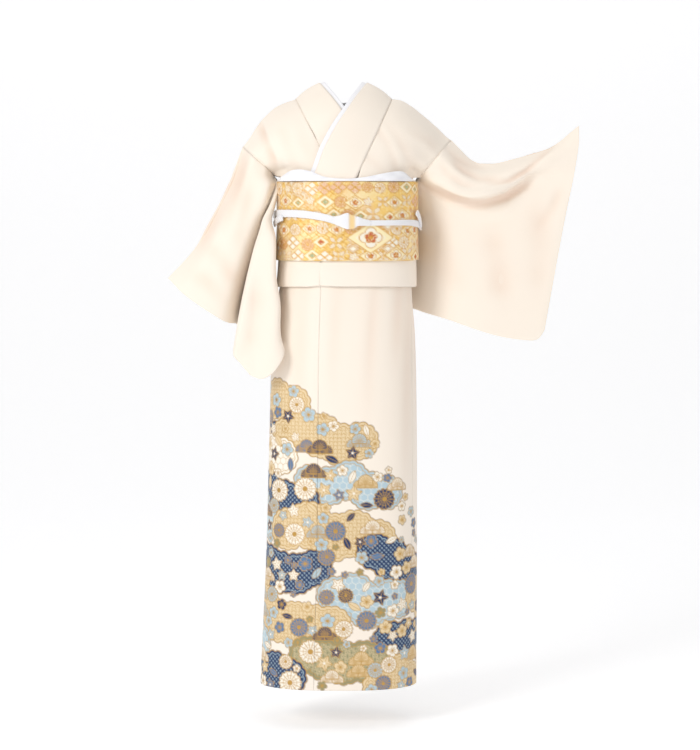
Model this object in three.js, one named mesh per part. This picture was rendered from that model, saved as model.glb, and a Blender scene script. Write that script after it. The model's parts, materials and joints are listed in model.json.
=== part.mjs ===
// A formal silk kimono in its worn form, with its brocade sash, sash scarf and sash cord.
// Millimetres, +Z up, the front faces -Y and +X is the wearer's left. The origin lies between
// the two neck points of the shoulders, where the wearer carries the garment.
import * as THREE from 'three';

// Cloth sizes
const CLOTH = 1.6; // lined silk crepe
const COLLAR = 2.6; // folded collar band
const UNDER_COLLAR = 1.2; // white inner collar
const SASH = 4; // brocade, wound twice
const SCARF = 1.2; // thin folded silk
const SEAM = 0.4; // gap between two sewn edges
const ARMHOLE_SEAM = 0.9;

// Heights
const HEM_Z = -1309;
const SKIRT_TOP_Z = -335; // under the sash, where the skirt is tied
const CHEST_Z = -168; // from here down the bodice lies on the body
const TUCK_TOP_Z = -372;
const TUCK_BOTTOM_Z = -421;
const TUCK_FOLD = 4.2; // the waist tuck is a double layer

// Sleeves as cut
const SLEEVE_DROP = 490;
const SLEEVE_WIDTH = 335;
const SLEEVE_CORNER = 25; // round outer corner of the bag
const WRIST_OPENING = 230;

// How far the inner face of each wrapped layer lies outside the body sections
const LEVEL = {
  skirt: 0, right: 5.8, left: 11, scarf: 14.2, sash: 14.4, hand: 19.4, cord: 19.4, cordOverHand: 24.8,
};
const UNDER_COLLAR_GAP = 0.8;
const WRAP_STEP = 3; // one skirt front over the other

// Distances round the body from the centre front
const SKIRT_SIDE_SEAM = 168;
const BODICE_SIDE_SEAM = 200;
const OVERLAP_SEAM = 54;
const OVERLAP_WIDTH = 150;

// Body sections: height, middle, half width, and depth to the front and to the back
const SECTIONS = [
  { z: -150, centre: 5, half: 135, front: 103, back: 91 },
  { z: -196, centre: 6, half: 137, front: 105, back: 93 },
  { z: -300, centre: 9, half: 139, front: 101, back: 97 },
  { z: -372, centre: 8, half: 141.5, front: 99, back: 102 },
  { z: -430, centre: 6, half: 145, front: 100, back: 107 },
  { z: -520, centre: 3, half: 155, front: 105, back: 116 },
  { z: -609, centre: 1, half: 160, front: 107, back: 120 },
  { z: -787, centre: 0, half: 163, front: 105, back: 116 },
  { z: -1032, centre: -3, half: 166, front: 102, back: 110 },
  { z: -1309, centre: -10, half: 172, front: 98, back: 106 },
];
const SQUARENESS = 2.3; // 2 is an ellipse

// Collar rows, free edge and sewn edge: up the wearer's left front, round the nape, down the right front.
// A row without a depth lies on the chest.
const COLLAR_ROWS = [
  { edge: [-92, null, -240], seam: [2, null, -246] },
  { edge: [-59, null, -170], seam: [30, null, -184] },
  { edge: [-43, -114, -128], seam: [47, -112, -146] },
  { edge: [-24, -107, -90], seam: [62, -101, -114] },
  { edge: [-10, -99, -66], seam: [73, -91, -90] },
  { edge: [7, -86, -40], seam: [84, -76, -64] },
  { edge: [27, -55, -8], seam: [96, -48, -36] },
  { edge: [42, -24, 14], seam: [104, -15, -16] },
  { edge: [54, 6, 30], seam: [108, 18, -5] },
  { edge: [55, 36, 22], seam: [103, 48, -16] },
  { edge: [44, 70, 3], seam: [80, 82, -40] },
  { edge: [24, 91, -10], seam: [46, 101, -61] },
  { edge: [0, 98, -15], seam: [0, 108, -70] },
  { edge: [-24, 91, -10], seam: [-46, 101, -61] },
  { edge: [-44, 70, 3], seam: [-80, 82, -40] },
  { edge: [-55, 36, 22], seam: [-103, 48, -16] },
  { edge: [-54, 6, 30], seam: [-107, 18, -5] },
  { edge: [-41, -22, 14], seam: [-101, -14, -16] },
  { edge: [-24, -50, -8], seam: [-92, -45, -36] },
  { edge: [-2, -78, -40], seam: [-78, -71, -64] },
  { edge: [14, -90, -66], seam: [-64, -85, -90] },
  { edge: [28, -97.6, -90], seam: [-53, -95, -114] },
  { edge: [48, -105, -130], seam: [-37, -105, -146] },
  { edge: [66, null, -172], seam: [-20, null, -184] },
  { edge: [92, null, -240], seam: [-4, null, -246] },
];
const NECK_LEFT_ROW = 8;
const NAPE_ROW = 12;
const NECK_RIGHT_ROW = 16;
const COLLAR_CROWN = 3.5; // the band bends with the chest
const WHITE_SHOWS = 10; // how far the white collar stands out past the free edge

// Shoulder lines from the neck point out to the sleeve seam
const SHOULDER_LEFT = [[108, 18, -5], [130, 18, -8], [153, 16, -22], [186, 12, -49], [216, 8, -76],
  [237, 5, -99]];
const SHOULDER_RIGHT = [[-107, 18, -5], [-139, 18, -17], [-158, 16, -28], [-185, 12, -55], [-204, 9, -84],
  [-221, 6, -112]];

// Inner edges of the bodice fronts below the chest: height and distance from the centre front
const INNER_EDGE_LEFT = [{ z: -168, s: 36 }, { z: -192, s: 24 }, { z: -246, s: -1 }, { z: -310, s: -26 },
  { z: -372, s: -53.6 }, { z: -421, s: -53.6 }];
const INNER_EDGE_RIGHT = [{ z: -168, s: -32 }, { z: -192, s: -24 }, { z: -246, s: -12 }, { z: -421, s: -12 }];
// The side is open from the armhole down to the sash: half the width of that slit
const SLIT_LEFT = [{ z: -168, half: 28 }, { z: -192, half: 34 }, { z: -246, half: 26 },
  { z: -372, half: 0.2 }, { z: -421, half: 0.2 }];
const SLIT_RIGHT = [{ z: -168, half: 34 }, { z: -192, half: 42 }, { z: -246, half: 32 },
  { z: -372, half: 0.2 }, { z: -421, half: 0.2 }];
const SLIT_Z = -184; // where the open edge dips behind the sash scarf
const SLIT_CELLS = 3; // the cloth rises to it over this many columns
const OVERLAP_FREE_EDGE = [{ z: -300, s: -128 }, { z: -363, s: -160 }, { z: -421, s: -172 }];

// Sleeves: one row for each line down the bag, from the seam (u = 0) to the cuff (u = 1). Each named
// point of the middle sheet is x, y, z and how far the front and the back layer stand off round the arm.
const SLEEVE_RIGHT = [
  {
    arm: [-222, 6, -114, 0, 0], upper: [-198, 5, -138, 40, 44], roll: [-172, 4, -162, 38, 41],
    valley: [-155, 5, -177, 10, 10], floor: [-156, -8, -192, 4, 4], ridge: [-161, -22, -220, 0, 0],
    strip: [-167, -12, -272, 0, 0], turn: [-172, 44, -350, 0, 0], hem: [-176, 100, -440, 0, 0],
  },
  {
    arm: [-251, 2, -194, 0, 0], upper: [-224, -6, -208, 32, 36], roll: [-181, -34, -233, 14, 26],
    valley: [-174, -14, -242, 0, 6], floor: [-173, -20, -268, 0, 2], ridge: [-178, -68, -288, 0, 0],
    strip: [-162, -76, -332, 0, 0], turn: [-172, -12, -405, 0, 0], hem: [-177, 52, -482, 0, 0],
  },
  {
    arm: [-288, -6, -268, 0, 0], upper: [-259, -20, -286, 27, 28], roll: [-210, -44, -316, 8, 20],
    valley: [-187, 26, -328, 0, 2], floor: [-187, 24, -355, 0, 0], ridge: [-199, -74, -366, 0, 0],
    strip: [-174, -80, -412, 0, 0], turn: [-152, -80, -458, 0, 0], hem: [-172, -14, -528, 0, 0],
  },
  {
    arm: [-331, -16, -344, 0, 0], upper: [-301, -30, -368, 22, 22], roll: [-242, -52, -408, 5, 12],
    valley: [-213, 32, -418, 0, 0], floor: [-212, 30, -446, 0, 0], ridge: [-219, -80, -458, 0, 0],
    strip: [-192, -88, -494, 0, 0], turn: [-165, -93, -531, 0, 0], hem: [-141, -92, -571, 0, 0],
  },
  {
    arm: [-386, -28, -406, 0, 0], upper: [-347, -40, -443, 16, 16], roll: [-264, -58, -498, 3, 5],
    valley: [-236, 38, -511, 0, 0], floor: [-234, 36, -540, 0, 0], ridge: [-239, -82, -574, 0, 0],
    strip: [-222, -88, -594, 0, 0], turn: [-205, -92, -614, 0, 0], hem: [-188, -94, -634, 0, 0],
  },
];
const SLEEVE_LEFT = [
  {
    arm: [238, 5, -100, 0, 0], upper: [210, 5, -134, 44, 48], roll: [183, 4, -167, 44, 48],
    valley: [173, 5, -183, 10, 10], floor: [176, 9, -198, 8, 8], ridge: [178, 16, -216, 6, 6],
    strip: [167, 66, -285, 2, 2], turn: [154, 92, -370, 0, 0], hem: [140, 112, -458, 0, 0],
  },
  {
    arm: [302, 0, -153, 0, 0], upper: [280, -6, -188, 40, 40], roll: [255, -12, -226, 46, 40],
    valley: [250, -6, -240, 8, 24], floor: [247, -4, -254, 5, 18], ridge: [244, -2, -270, 2, 12],
    strip: [236, 4, -318, 0, 4], turn: [222, 14, -398, 0, 0], hem: [204, 26, -481, 0, 0],
  },
  {
    arm: [385, -6, -140, 0, 0], upper: [366, -12, -175, 32, 32], roll: [344, -18, -212, 32, 30],
    valley: [340, -12, -228, 4, 18], floor: [337, -11, -245, 2, 13], ridge: [333, -10, -264, 0, 9],
    strip: [322, -10, -318, 0, 3], turn: [301, -10, -414, 0, 0], hem: [279, -8, -509, 0, 0],
  },
  {
    arm: [463, -13, -114, 0, 0], upper: [448, -17, -137, 14, 15], roll: [430, -20, -164, 13, 19],
    valley: [424, -18, -182, 2, 18], floor: [419, -17, -207, 1, 13], ridge: [413, -16, -234, 0, 9],
    strip: [400, -15, -300, 0, 3], turn: [379, -14, -414, 0, 0], hem: [358, -12, -532, 0, 0],
  },
  {
    arm: [519, -22, -71, 0, 0], upper: [519, -22, -104, 9, 12], roll: [513, -22, -146, 12, 17],
    valley: [506, -21, -190, 8, 14], floor: [501, -20, -217, 5, 9], ridge: [495, -19, -247, 3, 5],
    strip: [482, -17, -318, 0, 0], turn: [463, -15, -425, 0, 0], hem: [443, -12, -541, 0, 0],
  },
];
const SLEEVE_LINES = ['arm', 'upper', 'roll', 'valley', 'floor', 'ridge', 'strip', 'turn', 'hem'];
const CELLS_BETWEEN_LINES = [3, 3, 3, 2, 3, 3, 3, 3];
const SEWN_CELLS = 9; // from the shoulder down to the valley line
const COLUMNS_RIGHT = [0, 0.06, 0.12, 0.18, 0.24, 0.3, 0.36, 0.48, 0.6, 0.72, 0.84, 0.93, 0.975, 1];
const COLUMNS_LEFT = [0, 0.12, 0.24, 0.36, 0.48, 0.6, 0.72, 0.84, 0.93, 0.975, 1];
const BAG_GAP = 1.5; // half the space between the two layers of the bag
const FOLD_GAP = 0.7; // the same where both layers turn together in the deep fold
const SEWN_GAP = 0.2; // half the space where the layers are sewn together

// Sash, knotted as a plain drum at the back: the drum and the tail are loops of depth and height
const SASH_TOP_Z = -190;
const SASH_BOTTOM_Z = -363;
const SASH_TILT = 0.05; // the front sits lower than the back
const DRUM = { width: 304, centre: 8, bow: 12 };
const DRUM_PATH = [[105.5, -146], [120, -135], [142, -130], [162, -132], [177, -146], [185, -180], [188, -250],
  [185, -330], [177, -385], [169, -403], [156, -410], [142, -404], [134.5, -385], [131, -350], [130.8, -335]];
const TAIL_PATH = [[126.4, -338], [126.4, -360], [128, -380], [133, -425], [135, -470]];
const HAND = { halfLength: 150, top: -262, bottom: -345 };

// Sash scarf: how high its soft roll rises above the sash and how deep it is, by distance round the body
const SCARF_ROLL = [
  { s: -460, rise: 40, deep: 40 }, { s: -400, rise: 38, deep: 34 }, { s: -330, rise: 26, deep: 18 },
  { s: -270, rise: 10, deep: 7 }, { s: -230, rise: 2.6, deep: 4.6 }, { s: -165, rise: 2.6, deep: 4.6 },
  { s: -140, rise: 12, deep: 6 },
  { s: -112, rise: 23, deep: 8 }, { s: -88, rise: 25, deep: 8 }, { s: -64, rise: 19, deep: 7 },
  { s: -42, rise: 9, deep: 6 }, { s: 0, rise: 5, deep: 5 }, { s: 40, rise: 9, deep: 6 },
  { s: 65, rise: 15, deep: 7 }, { s: 92, rise: 20, deep: 8 }, { s: 116, rise: 21, deep: 8 },
  { s: 145, rise: 7, deep: 6 }, { s: 168, rise: 2.2, deep: 4.6 }, { s: 230, rise: 2.6, deep: 4.6 },
  { s: 270, rise: 10, deep: 7 }, { s: 330, rise: 26, deep: 18 }, { s: 400, rise: 38, deep: 34 },
  { s: 460, rise: 40, deep: 40 },
];
const SCARF_STATIONS = 60;

// Sash cord: its height and width round the body
const CORD_LINE = [
  { s: -460, z: -290, wide: 13 }, { s: -300, z: -282, wide: 14 }, { s: -190, z: -263, wide: 15 },
  { s: -110, z: -260, wide: 15 }, { s: -70, z: -263, wide: 15 }, { s: -40, z: -269, wide: 15 },
  { s: -16, z: -277, wide: 15 }, { s: 24, z: -280, wide: 12 }, { s: 60, z: -280, wide: 11 },
  { s: 130, z: -280, wide: 12 }, { s: 165, z: -284, wide: 14 }, { s: 200, z: -291, wide: 13 },
  { s: 300, z: -293, wide: 13 }, { s: 460, z: -290, wide: 13 },
];
const CORD = { thick: 4, stations: 64, endWidth: 12 };
const KNOT_LINE = [
  { s: -24, z: -274, wide: 14, thick: 1.5 }, { s: -15, z: -276, wide: 20, thick: 4 },
  { s: -6, z: -276, wide: 29, thick: 7 }, { s: 2, z: -276, wide: 33, thick: 8 },
  { s: 5, z: -277, wide: 29, thick: 6.5 }, { s: 12, z: -278, wide: 26, thick: 6 },
  { s: 17, z: -277, wide: 20, thick: 6 }, { s: 21, z: -276, wide: 18, thick: 6.5 },
  { s: 31, z: -279, wide: 13, thick: 4 }, { s: 42, z: -280, wide: 10, thick: 1.5 },
];
const CORD_ENDS = [
  { name: 'cord_end_left', line: [[176, -288], [165, -272], [150, -257]] },
  { name: 'cord_end_right', line: [[-132, -269], [-150, -275], [-168, -284]] },
];

const SILK = new THREE.MeshStandardMaterial({ color: 0xf1e4d3, roughness: 0.75, metalness: 0 });
const WHITE_SILK = new THREE.MeshStandardMaterial({ color: 0xf8f8fa, roughness: 0.7, metalness: 0 });
const BROCADE = new THREE.MeshStandardMaterial({ color: 0xdcb964, roughness: 0.5, metalness: 0.2 });

const garment = new THREE.Group();
const { lerp, clamp, smoothstep } = THREE.MathUtils;
const vec = (p) => new THREE.Vector3(p[0], p[1], p[2]);
const series = (count, make) => Array.from({ length: count }, (_, i) => make(i));

// Smooth curve through points, at a share of its index
const curveAt = (points, t) => new THREE.CatmullRomCurve3(points, false, 'centripetal').getPoint(t);

// Smooth curve through points, sampled at equal distances
function spaced(points, cells) {
  return new THREE.CatmullRomCurve3(points, false, 'centripetal').getSpacedPoints(cells);
}

// Points along a polyline at equal distances
function resampled(points, cells) {
  const lengths = [0];
  for (let i = 1; i < points.length; i += 1) {
    lengths.push(lengths[i - 1] + points[i].distanceTo(points[i - 1]));
  }
  return series(cells + 1, (k) => {
    const at = (lengths[lengths.length - 1] * k) / cells;
    let i = 1;
    while (i < points.length - 1 && lengths[i] < at) i += 1;
    const share = (at - lengths[i - 1]) / (lengths[i] - lengths[i - 1]);
    return points[i - 1].clone().lerp(points[i], clamp(share, 0, 1));
  });
}

// A value between the rows of a table, with soft turns
function between(rows, key, value, at) {
  const rising = rows[1][key] > rows[0][key];
  let i = 0;
  while (i < rows.length - 2 && (rising ? at > rows[i + 1][key] : at < rows[i + 1][key])) i += 1;
  const share = clamp((at - rows[i][key]) / (rows[i + 1][key] - rows[i][key]), 0, 1);
  const [a, b] = [rows[i][value], rows[i + 1][value]];
  const slopeA = (b - rows[Math.max(i - 1, 0)][value]) / 2;
  const slopeB = (rows[Math.min(i + 2, rows.length - 1)][value] - a) / 2;
  const s2 = share * share;
  const s3 = s2 * share;
  const turns = (s3 - 2 * s2 + share) * slopeA + (s3 - s2) * slopeB;
  return lerp(a, b, 3 * s2 - 2 * s3) + turns;
}

// A value between the rows of a table along straight lines
function straight(rows, key, value, at) {
  let i = 0;
  const past = (row) => Math.abs(at - rows[0][key]) > Math.abs(row[key] - rows[0][key]);
  while (i < rows.length - 2 && past(rows[i + 1])) i += 1;
  const share = (at - rows[i][key]) / (rows[i + 1][key] - rows[i][key]);
  return lerp(rows[i][value], rows[i + 1][value], clamp(share, 0, 1));
}

// A level that leaves low at s = a and reaches high at s = b
const ramp = (a, b, low, high) => (s) => lerp(low, high, smoothstep((s - a) / (b - a), 0, 1));

// One body section with the distance walked round it from the centre front to the centre back
const TURN_STEPS = 240;
const sectionCache = new Map();
function onSection(size, turn, out) {
  const power = 2 / SQUARENESS;
  const side = Math.sign(Math.sin(turn)) * Math.abs(Math.sin(turn)) ** power;
  const ahead = Math.sign(Math.cos(turn)) * Math.abs(Math.cos(turn)) ** power;
  const depth = ahead > 0 ? size.front : size.back;
  return new THREE.Vector2(size.centre + (size.half + out) * side, -(depth + out) * ahead);
}

function section(z) {
  if (sectionCache.has(z)) return sectionCache.get(z);
  const size = {};
  for (const value of ['centre', 'half', 'front', 'back']) size[value] = between(SECTIONS, 'z', value, z);
  const walked = [0];
  let last = onSection(size, 0, 0);
  for (let i = 1; i <= TURN_STEPS; i += 1) {
    const next = onSection(size, (Math.PI * i) / TURN_STEPS, 0);
    walked.push(walked[i - 1] + next.distanceTo(last));
    last = next;
  }
  const made = { size, walked, halfRound: walked[TURN_STEPS] };
  sectionCache.set(z, made);
  return made;
}

// The point at height z, distance s round the body from the centre front and out from the section
function bodyPoint(z, s, out) {
  const { size, walked, halfRound } = section(z);
  const along = Math.min(Math.abs(s), halfRound);
  let i = 1;
  while (i < TURN_STEPS && walked[i] < along) i += 1;
  const share = (along - walked[i - 1]) / (walked[i] - walked[i - 1]);
  const turn = ((i - 1 + share) * Math.PI * Math.sign(s || 1)) / TURN_STEPS;
  const p = onSection(size, turn, out);
  return new THREE.Vector3(p.x, p.y, z);
}

// The same for the sash and all that lies on it, which sit lower in front
function sashPoint(z, s, out) {
  const p = bodyPoint(z, s, out);
  return p.setZ(z + SASH_TILT * p.y);
}

// Depth of the chest at x and z
function onChest(x, z, out) {
  const { size } = section(z);
  const share = Math.abs(x - size.centre) / (size.half + out);
  return -(size.front + out) * Math.max(0, 1 - share ** SQUARENESS) ** (1 / SQUARENESS);
}

// Unit normals of a grid of points. sign turns them round.
function gridNormals(grid, closed, sign) {
  const rows = grid.length;
  const columns = grid[0].length;
  return grid.map((row, i) => row.map((_, j) => {
    const before = closed ? (j + columns - 1) % columns : Math.max(j - 1, 0);
    const after = closed ? (j + 1) % columns : Math.min(j + 1, columns - 1);
    const across = row[after].clone().sub(row[before]);
    const down = grid[Math.min(i + 1, rows - 1)][j].clone().sub(grid[Math.max(i - 1, 0)][j]);
    return across.cross(down).normalize().multiplyScalar(sign);
  }));
}

// +1 or -1, so that the grid's normals face away from a point
function facing(grid, from) {
  let sum = 0;
  gridNormals(grid, false, 1).forEach((row, i) => row.forEach((n, j) => {
    sum += n.dot(grid[i][j].clone().sub(from));
  }));
  return sum > 0 ? 1 : -1;
}

// Each point moved in by a distance
function insetGrid(outer, distance, closed, sign) {
  const normals = gridNormals(outer, closed, sign);
  return outer.map((row, i) => row.map((p, j) => p.clone().addScaledVector(normals[i][j], -distance)));
}

function volumeOf(positions, triangles) {
  const point = (k) => new THREE.Vector3().fromArray(positions, triangles[k] * 3);
  let volume = 0;
  for (let k = 0; k < triangles.length; k += 3) volume += point(k).dot(point(k + 1).cross(point(k + 2)));
  return volume;
}

// A closed body between an outer and an inner grid. closed: the columns run round into each other.
function wallGeometry(outer, inner, closed) {
  const rows = outer.length;
  const columns = outer[0].length;
  const positions = [outer, inner].flat(2).flatMap((p) => [p.x, p.y, p.z]);
  const id = (face, i, j) => (face * rows + i) * columns + (j % columns);
  const triangles = [];
  const quad = (a, b, c, d) => triangles.push(a, b, c, a, c, d);
  const cells = closed ? columns : columns - 1;
  for (let j = 0; j < cells; j += 1) {
    for (let i = 0; i < rows - 1; i += 1) {
      quad(id(0, i, j), id(0, i, j + 1), id(0, i + 1, j + 1), id(0, i + 1, j));
      quad(id(1, i, j), id(1, i + 1, j), id(1, i + 1, j + 1), id(1, i, j + 1));
    }
    quad(id(0, 0, j), id(1, 0, j), id(1, 0, j + 1), id(0, 0, j + 1));
    quad(id(0, rows - 1, j), id(0, rows - 1, j + 1), id(1, rows - 1, j + 1), id(1, rows - 1, j));
  }
  for (let i = 0; i < rows - 1 && !closed; i += 1) {
    quad(id(0, i, 0), id(0, i + 1, 0), id(1, i + 1, 0), id(1, i, 0));
    quad(id(0, i, cells), id(1, i, cells), id(1, i + 1, cells), id(0, i + 1, cells));
  }
  if (volumeOf(positions, triangles) < 0) triangles.reverse();
  const geometry = new THREE.BufferGeometry();
  geometry.setAttribute('position', new THREE.Float32BufferAttribute(positions, 3));
  geometry.setIndex(triangles);
  geometry.computeVertexNormals();
  return geometry;
}

function piece(name, geometry, material) {
  const mesh = new THREE.Mesh(geometry, material.clone());
  mesh.name = name;
  garment.add(mesh);
}

// Skirt panels hang from under the sash to the hem
const SKIRT_HEIGHTS = [SKIRT_TOP_Z, -372, -421, -520, -650, -787, -915, -1045, -1180, HEM_Z];
const halfSeam = SEAM / 2;
function skirtPanel(name, from, to, cells, levelAt) {
  const grid = (extra) => SKIRT_HEIGHTS.map((z) => {
    return series(cells + 1, (j) => {
      const s = lerp(from(z), to(z), j / cells);
      return bodyPoint(z, s, levelAt(s) + extra);
    });
  });
  piece(name, wallGeometry(grid(CLOTH), grid(0), false), SILK);
}

function skirt() {
  const side = SKIRT_SIDE_SEAM;
  const seam = OVERLAP_SEAM;
  const overLeft = ramp(side, 118, LEVEL.skirt, LEVEL.skirt + WRAP_STEP);
  const underRight = ramp(84, 124, LEVEL.skirt, LEVEL.skirt - WRAP_STEP);
  const level = () => LEVEL.skirt;
  const at = (s) => () => s;
  const back = (z) => section(z).halfRound - halfSeam;
  skirtPanel('skirt_front_left', at(halfSeam - seam), at(side - halfSeam), 12, overLeft);
  skirtPanel('overlap_left', at(-seam - OVERLAP_WIDTH), at(-seam - halfSeam), 9, overLeft);
  skirtPanel('skirt_back_left', at(side + halfSeam), back, 14, level);
  skirtPanel('skirt_back_right', (z) => -back(z), at(-side - halfSeam), 14, level);
  skirtPanel('skirt_front_right', at(halfSeam - side), at(seam - halfSeam), 12, underRight);
  skirtPanel('overlap_right', at(seam + halfSeam), at(seam + OVERLAP_WIDTH), 9, underRight);
}

// The collar is one band from front to front round the nape, with the white collar inside it
const COLLAR_CELLS = 4;
const STEPS_PER_ROW = 2;
const COLLAR_STEPS = (COLLAR_ROWS.length - 1) * STEPS_PER_ROW;
function collarRow(row, i) {
  const level = (i < NAPE_ROW ? LEVEL.left : LEVEL.right) + COLLAR;
  const [edge, seam] = [vec(row.edge), vec(row.seam)];
  if (row.edge[1] !== null) return series(COLLAR_CELLS + 1, (j) => edge.clone().lerp(seam, j / COLLAR_CELLS));
  return series(COLLAR_CELLS + 1, (j) => {
    const p = edge.clone().lerp(seam, j / COLLAR_CELLS);
    p.y = onChest(p.x, p.z, level);
    return p;
  });
}

function collars() {
  const rows = COLLAR_ROWS.map(collarRow);
  const middle = new THREE.Vector3(0, 0, CHEST_Z);
  const rowNormals = gridNormals(rows, false, facing(rows, middle));
  rows.forEach((row, i) => row.forEach((p, j) => {
    if (COLLAR_ROWS[i].edge[1] === null) return;
    p.addScaledVector(rowNormals[i][j], COLLAR_CROWN * Math.sin((Math.PI * j) / COLLAR_CELLS));
  }));
  const outer = series(COLLAR_STEPS + 1, (i) => series(COLLAR_CELLS + 1, (j) => {
    const p = curveAt(rows.map((row) => row[j]), i / COLLAR_STEPS);
    const onLeft = i <= STEPS_PER_ROW;
    if (onLeft || i >= COLLAR_STEPS - STEPS_PER_ROW) {
      p.y = onChest(p.x, p.z, (onLeft ? LEVEL.left : LEVEL.right) + COLLAR);
    }
    return p;
  }));
  const sign = facing(outer, middle);
  piece('collar', wallGeometry(outer, insetGrid(outer, COLLAR, false, sign), false), SILK);
  const beneath = insetGrid(outer, COLLAR + UNDER_COLLAR_GAP, false, sign);
  const white = beneath.map((row) => {
    const past = WHITE_SHOWS / row[0].distanceTo(row[1]);
    const along = (j, share) => row[j].clone().lerp(row[j + 1], share);
    return [along(0, -past), row[0], along(0, 0.6), along(1, 0.6)];
  });
  piece('under_collar', wallGeometry(white, insetGrid(white, UNDER_COLLAR, false, sign), false), WHITE_SILK);
  const normals = gridNormals(outer, false, sign);
  return outer.map((row, i) => {
    const away = row[COLLAR_CELLS].clone().sub(row[COLLAR_CELLS - 1]).normalize();
    const p = row[COLLAR_CELLS].clone().addScaledVector(away, SEAM);
    return p.addScaledVector(normals[i][COLLAR_CELLS], CLOTH - COLLAR);
  });
}

// A sleeve is a bag with a fold at the top, open at the wrist and, below the armhole, at the body side
function sleeve(name, table, shares) {
  const points = SLEEVE_LINES.map((line) => table.map((row) => vec(row[line])));
  const swell = SLEEVE_LINES.map((line) => {
    const gap = line === 'valley' || line === 'floor' ? FOLD_GAP : BAG_GAP;
    return table.map((row) => new THREE.Vector3(row[line][3], row[line][4], gap));
  });
  const spans = CELLS_BETWEEN_LINES.length;
  const columns = shares.map((u) => {
    const down = points.map((line) => curveAt(line, u));
    const swells = swell.map((line) => curveAt(line, u));
    const corner = Math.max(0, SLEEVE_CORNER - (1 - u) * SLEEVE_WIDTH);
    const cutOff = SLEEVE_CORNER - Math.sqrt(SLEEVE_CORNER ** 2 - corner ** 2);
    const kept = 1 - cutOff / down[spans - 1].distanceTo(down[spans]);
    const steps = CELLS_BETWEEN_LINES.flatMap((cells, k) => {
      const last = k === spans - 1;
      return series(cells + (last ? 1 : 0), (j) => (k + ((last ? kept : 1) * j) / cells) / spans);
    });
    return steps.map((t) => ({ p: curveAt(down, t), swell: curveAt(swells, t) }));
  });
  const sheet = columns.map((column) => column.map((at) => at.p));
  const ahead = gridNormals(sheet, false, 1).flat().reduce((sum, n) => sum + n.y, 0) > 0 ? -1 : 1;
  const normals = gridNormals(sheet, false, ahead);
  const count = sheet[0].length;
  const outer = shares.map((_, i) => {
    const line = sheet[i];
    const layer = (direction) => line.map((p, j) => {
      const sewn = shares[i] === 1 && (j / (count - 1)) * SLEEVE_DROP > WRIST_OPENING;
      const edge = j === 0 || j === count - 1;
      const gap = (sewn ? SEWN_GAP : columns[i][j].swell.z) * (edge ? 0.6 : 1) + CLOTH;
      const round = direction > 0 ? -columns[i][j].swell.x : columns[i][j].swell.y;
      const moved = p.clone().addScaledVector(normals[i][j], direction * gap);
      moved.y += round;
      return moved;
    });
    const tip = (from, to) => from.clone().addScaledVector(from.clone().sub(to).normalize(), CLOTH + 1);
    const bottom = tip(line[count - 1], line[count - 2]);
    return [tip(line[0], line[1]), ...layer(1), bottom, ...layer(-1).reverse()];
  });
  const outward = gridNormals(outer, true, 1)[0][1].y < 0 ? 1 : -1;
  const inner = insetGrid(outer, CLOTH, true, outward);
  piece(name, wallGeometry(outer, inner, true), SILK);
  const sewnEdge = (loops) => {
    const loop = loops[0].map((p, k) => {
      return p.clone().addScaledVector(p.clone().sub(loops[1][k]).normalize(), ARMHOLE_SEAM);
    });
    const back = [loop[0], ...loop.slice(-SEWN_CELLS - 1).reverse()];
    return { front: loop.slice(0, SEWN_CELLS + 2), back };
  };
  return { outer: sewnEdge(outer), inner: sewnEdge(inner) };
}

// Coons patch between four edges
function patch(top, bottom, start, end) {
  const rows = start.length - 1;
  const columns = top.length - 1;
  return series(rows + 1, (i) => series(columns + 1, (j) => {
    const [t, s] = [i / rows, j / columns];
    const p = top[j].clone().multiplyScalar(1 - t).addScaledVector(bottom[j], t);
    p.addScaledVector(start[i], 1 - s).addScaledVector(end[i], s);
    p.addScaledVector(top[0], -(1 - t) * (1 - s)).addScaledVector(top[columns], -(1 - t) * s);
    return p.addScaledVector(bottom[0], -t * (1 - s)).addScaledVector(bottom[columns], -t * s);
  }));
}

// Rows of a bodice below the chest: height, whether the tuck's fold lies behind, and its rounding
const WAIST_ROWS = [
  { z: -192, fold: 0, round: 0 }, { z: -219, fold: 0, round: 0 }, { z: -246, fold: 0, round: 0 },
  { z: -310, fold: 0, round: 0 },
  { z: TUCK_TOP_Z, fold: 0, round: 0 }, { z: TUCK_TOP_Z - 7, fold: 1, round: 0 },
  { z: TUCK_BOTTOM_Z + 2, fold: 1, round: 0 }, { z: TUCK_BOTTOM_Z, fold: 1, round: 1.2 },
];
function waistGrid(fromAt, toAt, columns, levelAt, rows) {
  const pointAt = (row, j, outOf) => {
    const s = lerp(fromAt(row.z), toAt(row.z), j / columns);
    const dip = row === WAIST_ROWS[0] ? Math.max(0, 1 - (columns - j) / SLIT_CELLS) : 0;
    return bodyPoint(lerp(row.z, SLIT_Z, dip), s, outOf(levelAt(s)));
  };
  const grid = (outOf) => rows.map((row) => {
    return series(columns + 1, (j) => pointAt(row, j, (level) => outOf(level, row)));
  });
  const outer = grid((level, row) => level + CLOTH - row.round);
  const inner = grid((level, row) => {
    const folded = Math.min(level, Math.max(level + CLOTH - TUCK_FOLD, LEVEL.right));
    return row.fold ? folded + (folded < level ? row.round : 0) : level;
  });
  return { outer, inner };
}

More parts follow.
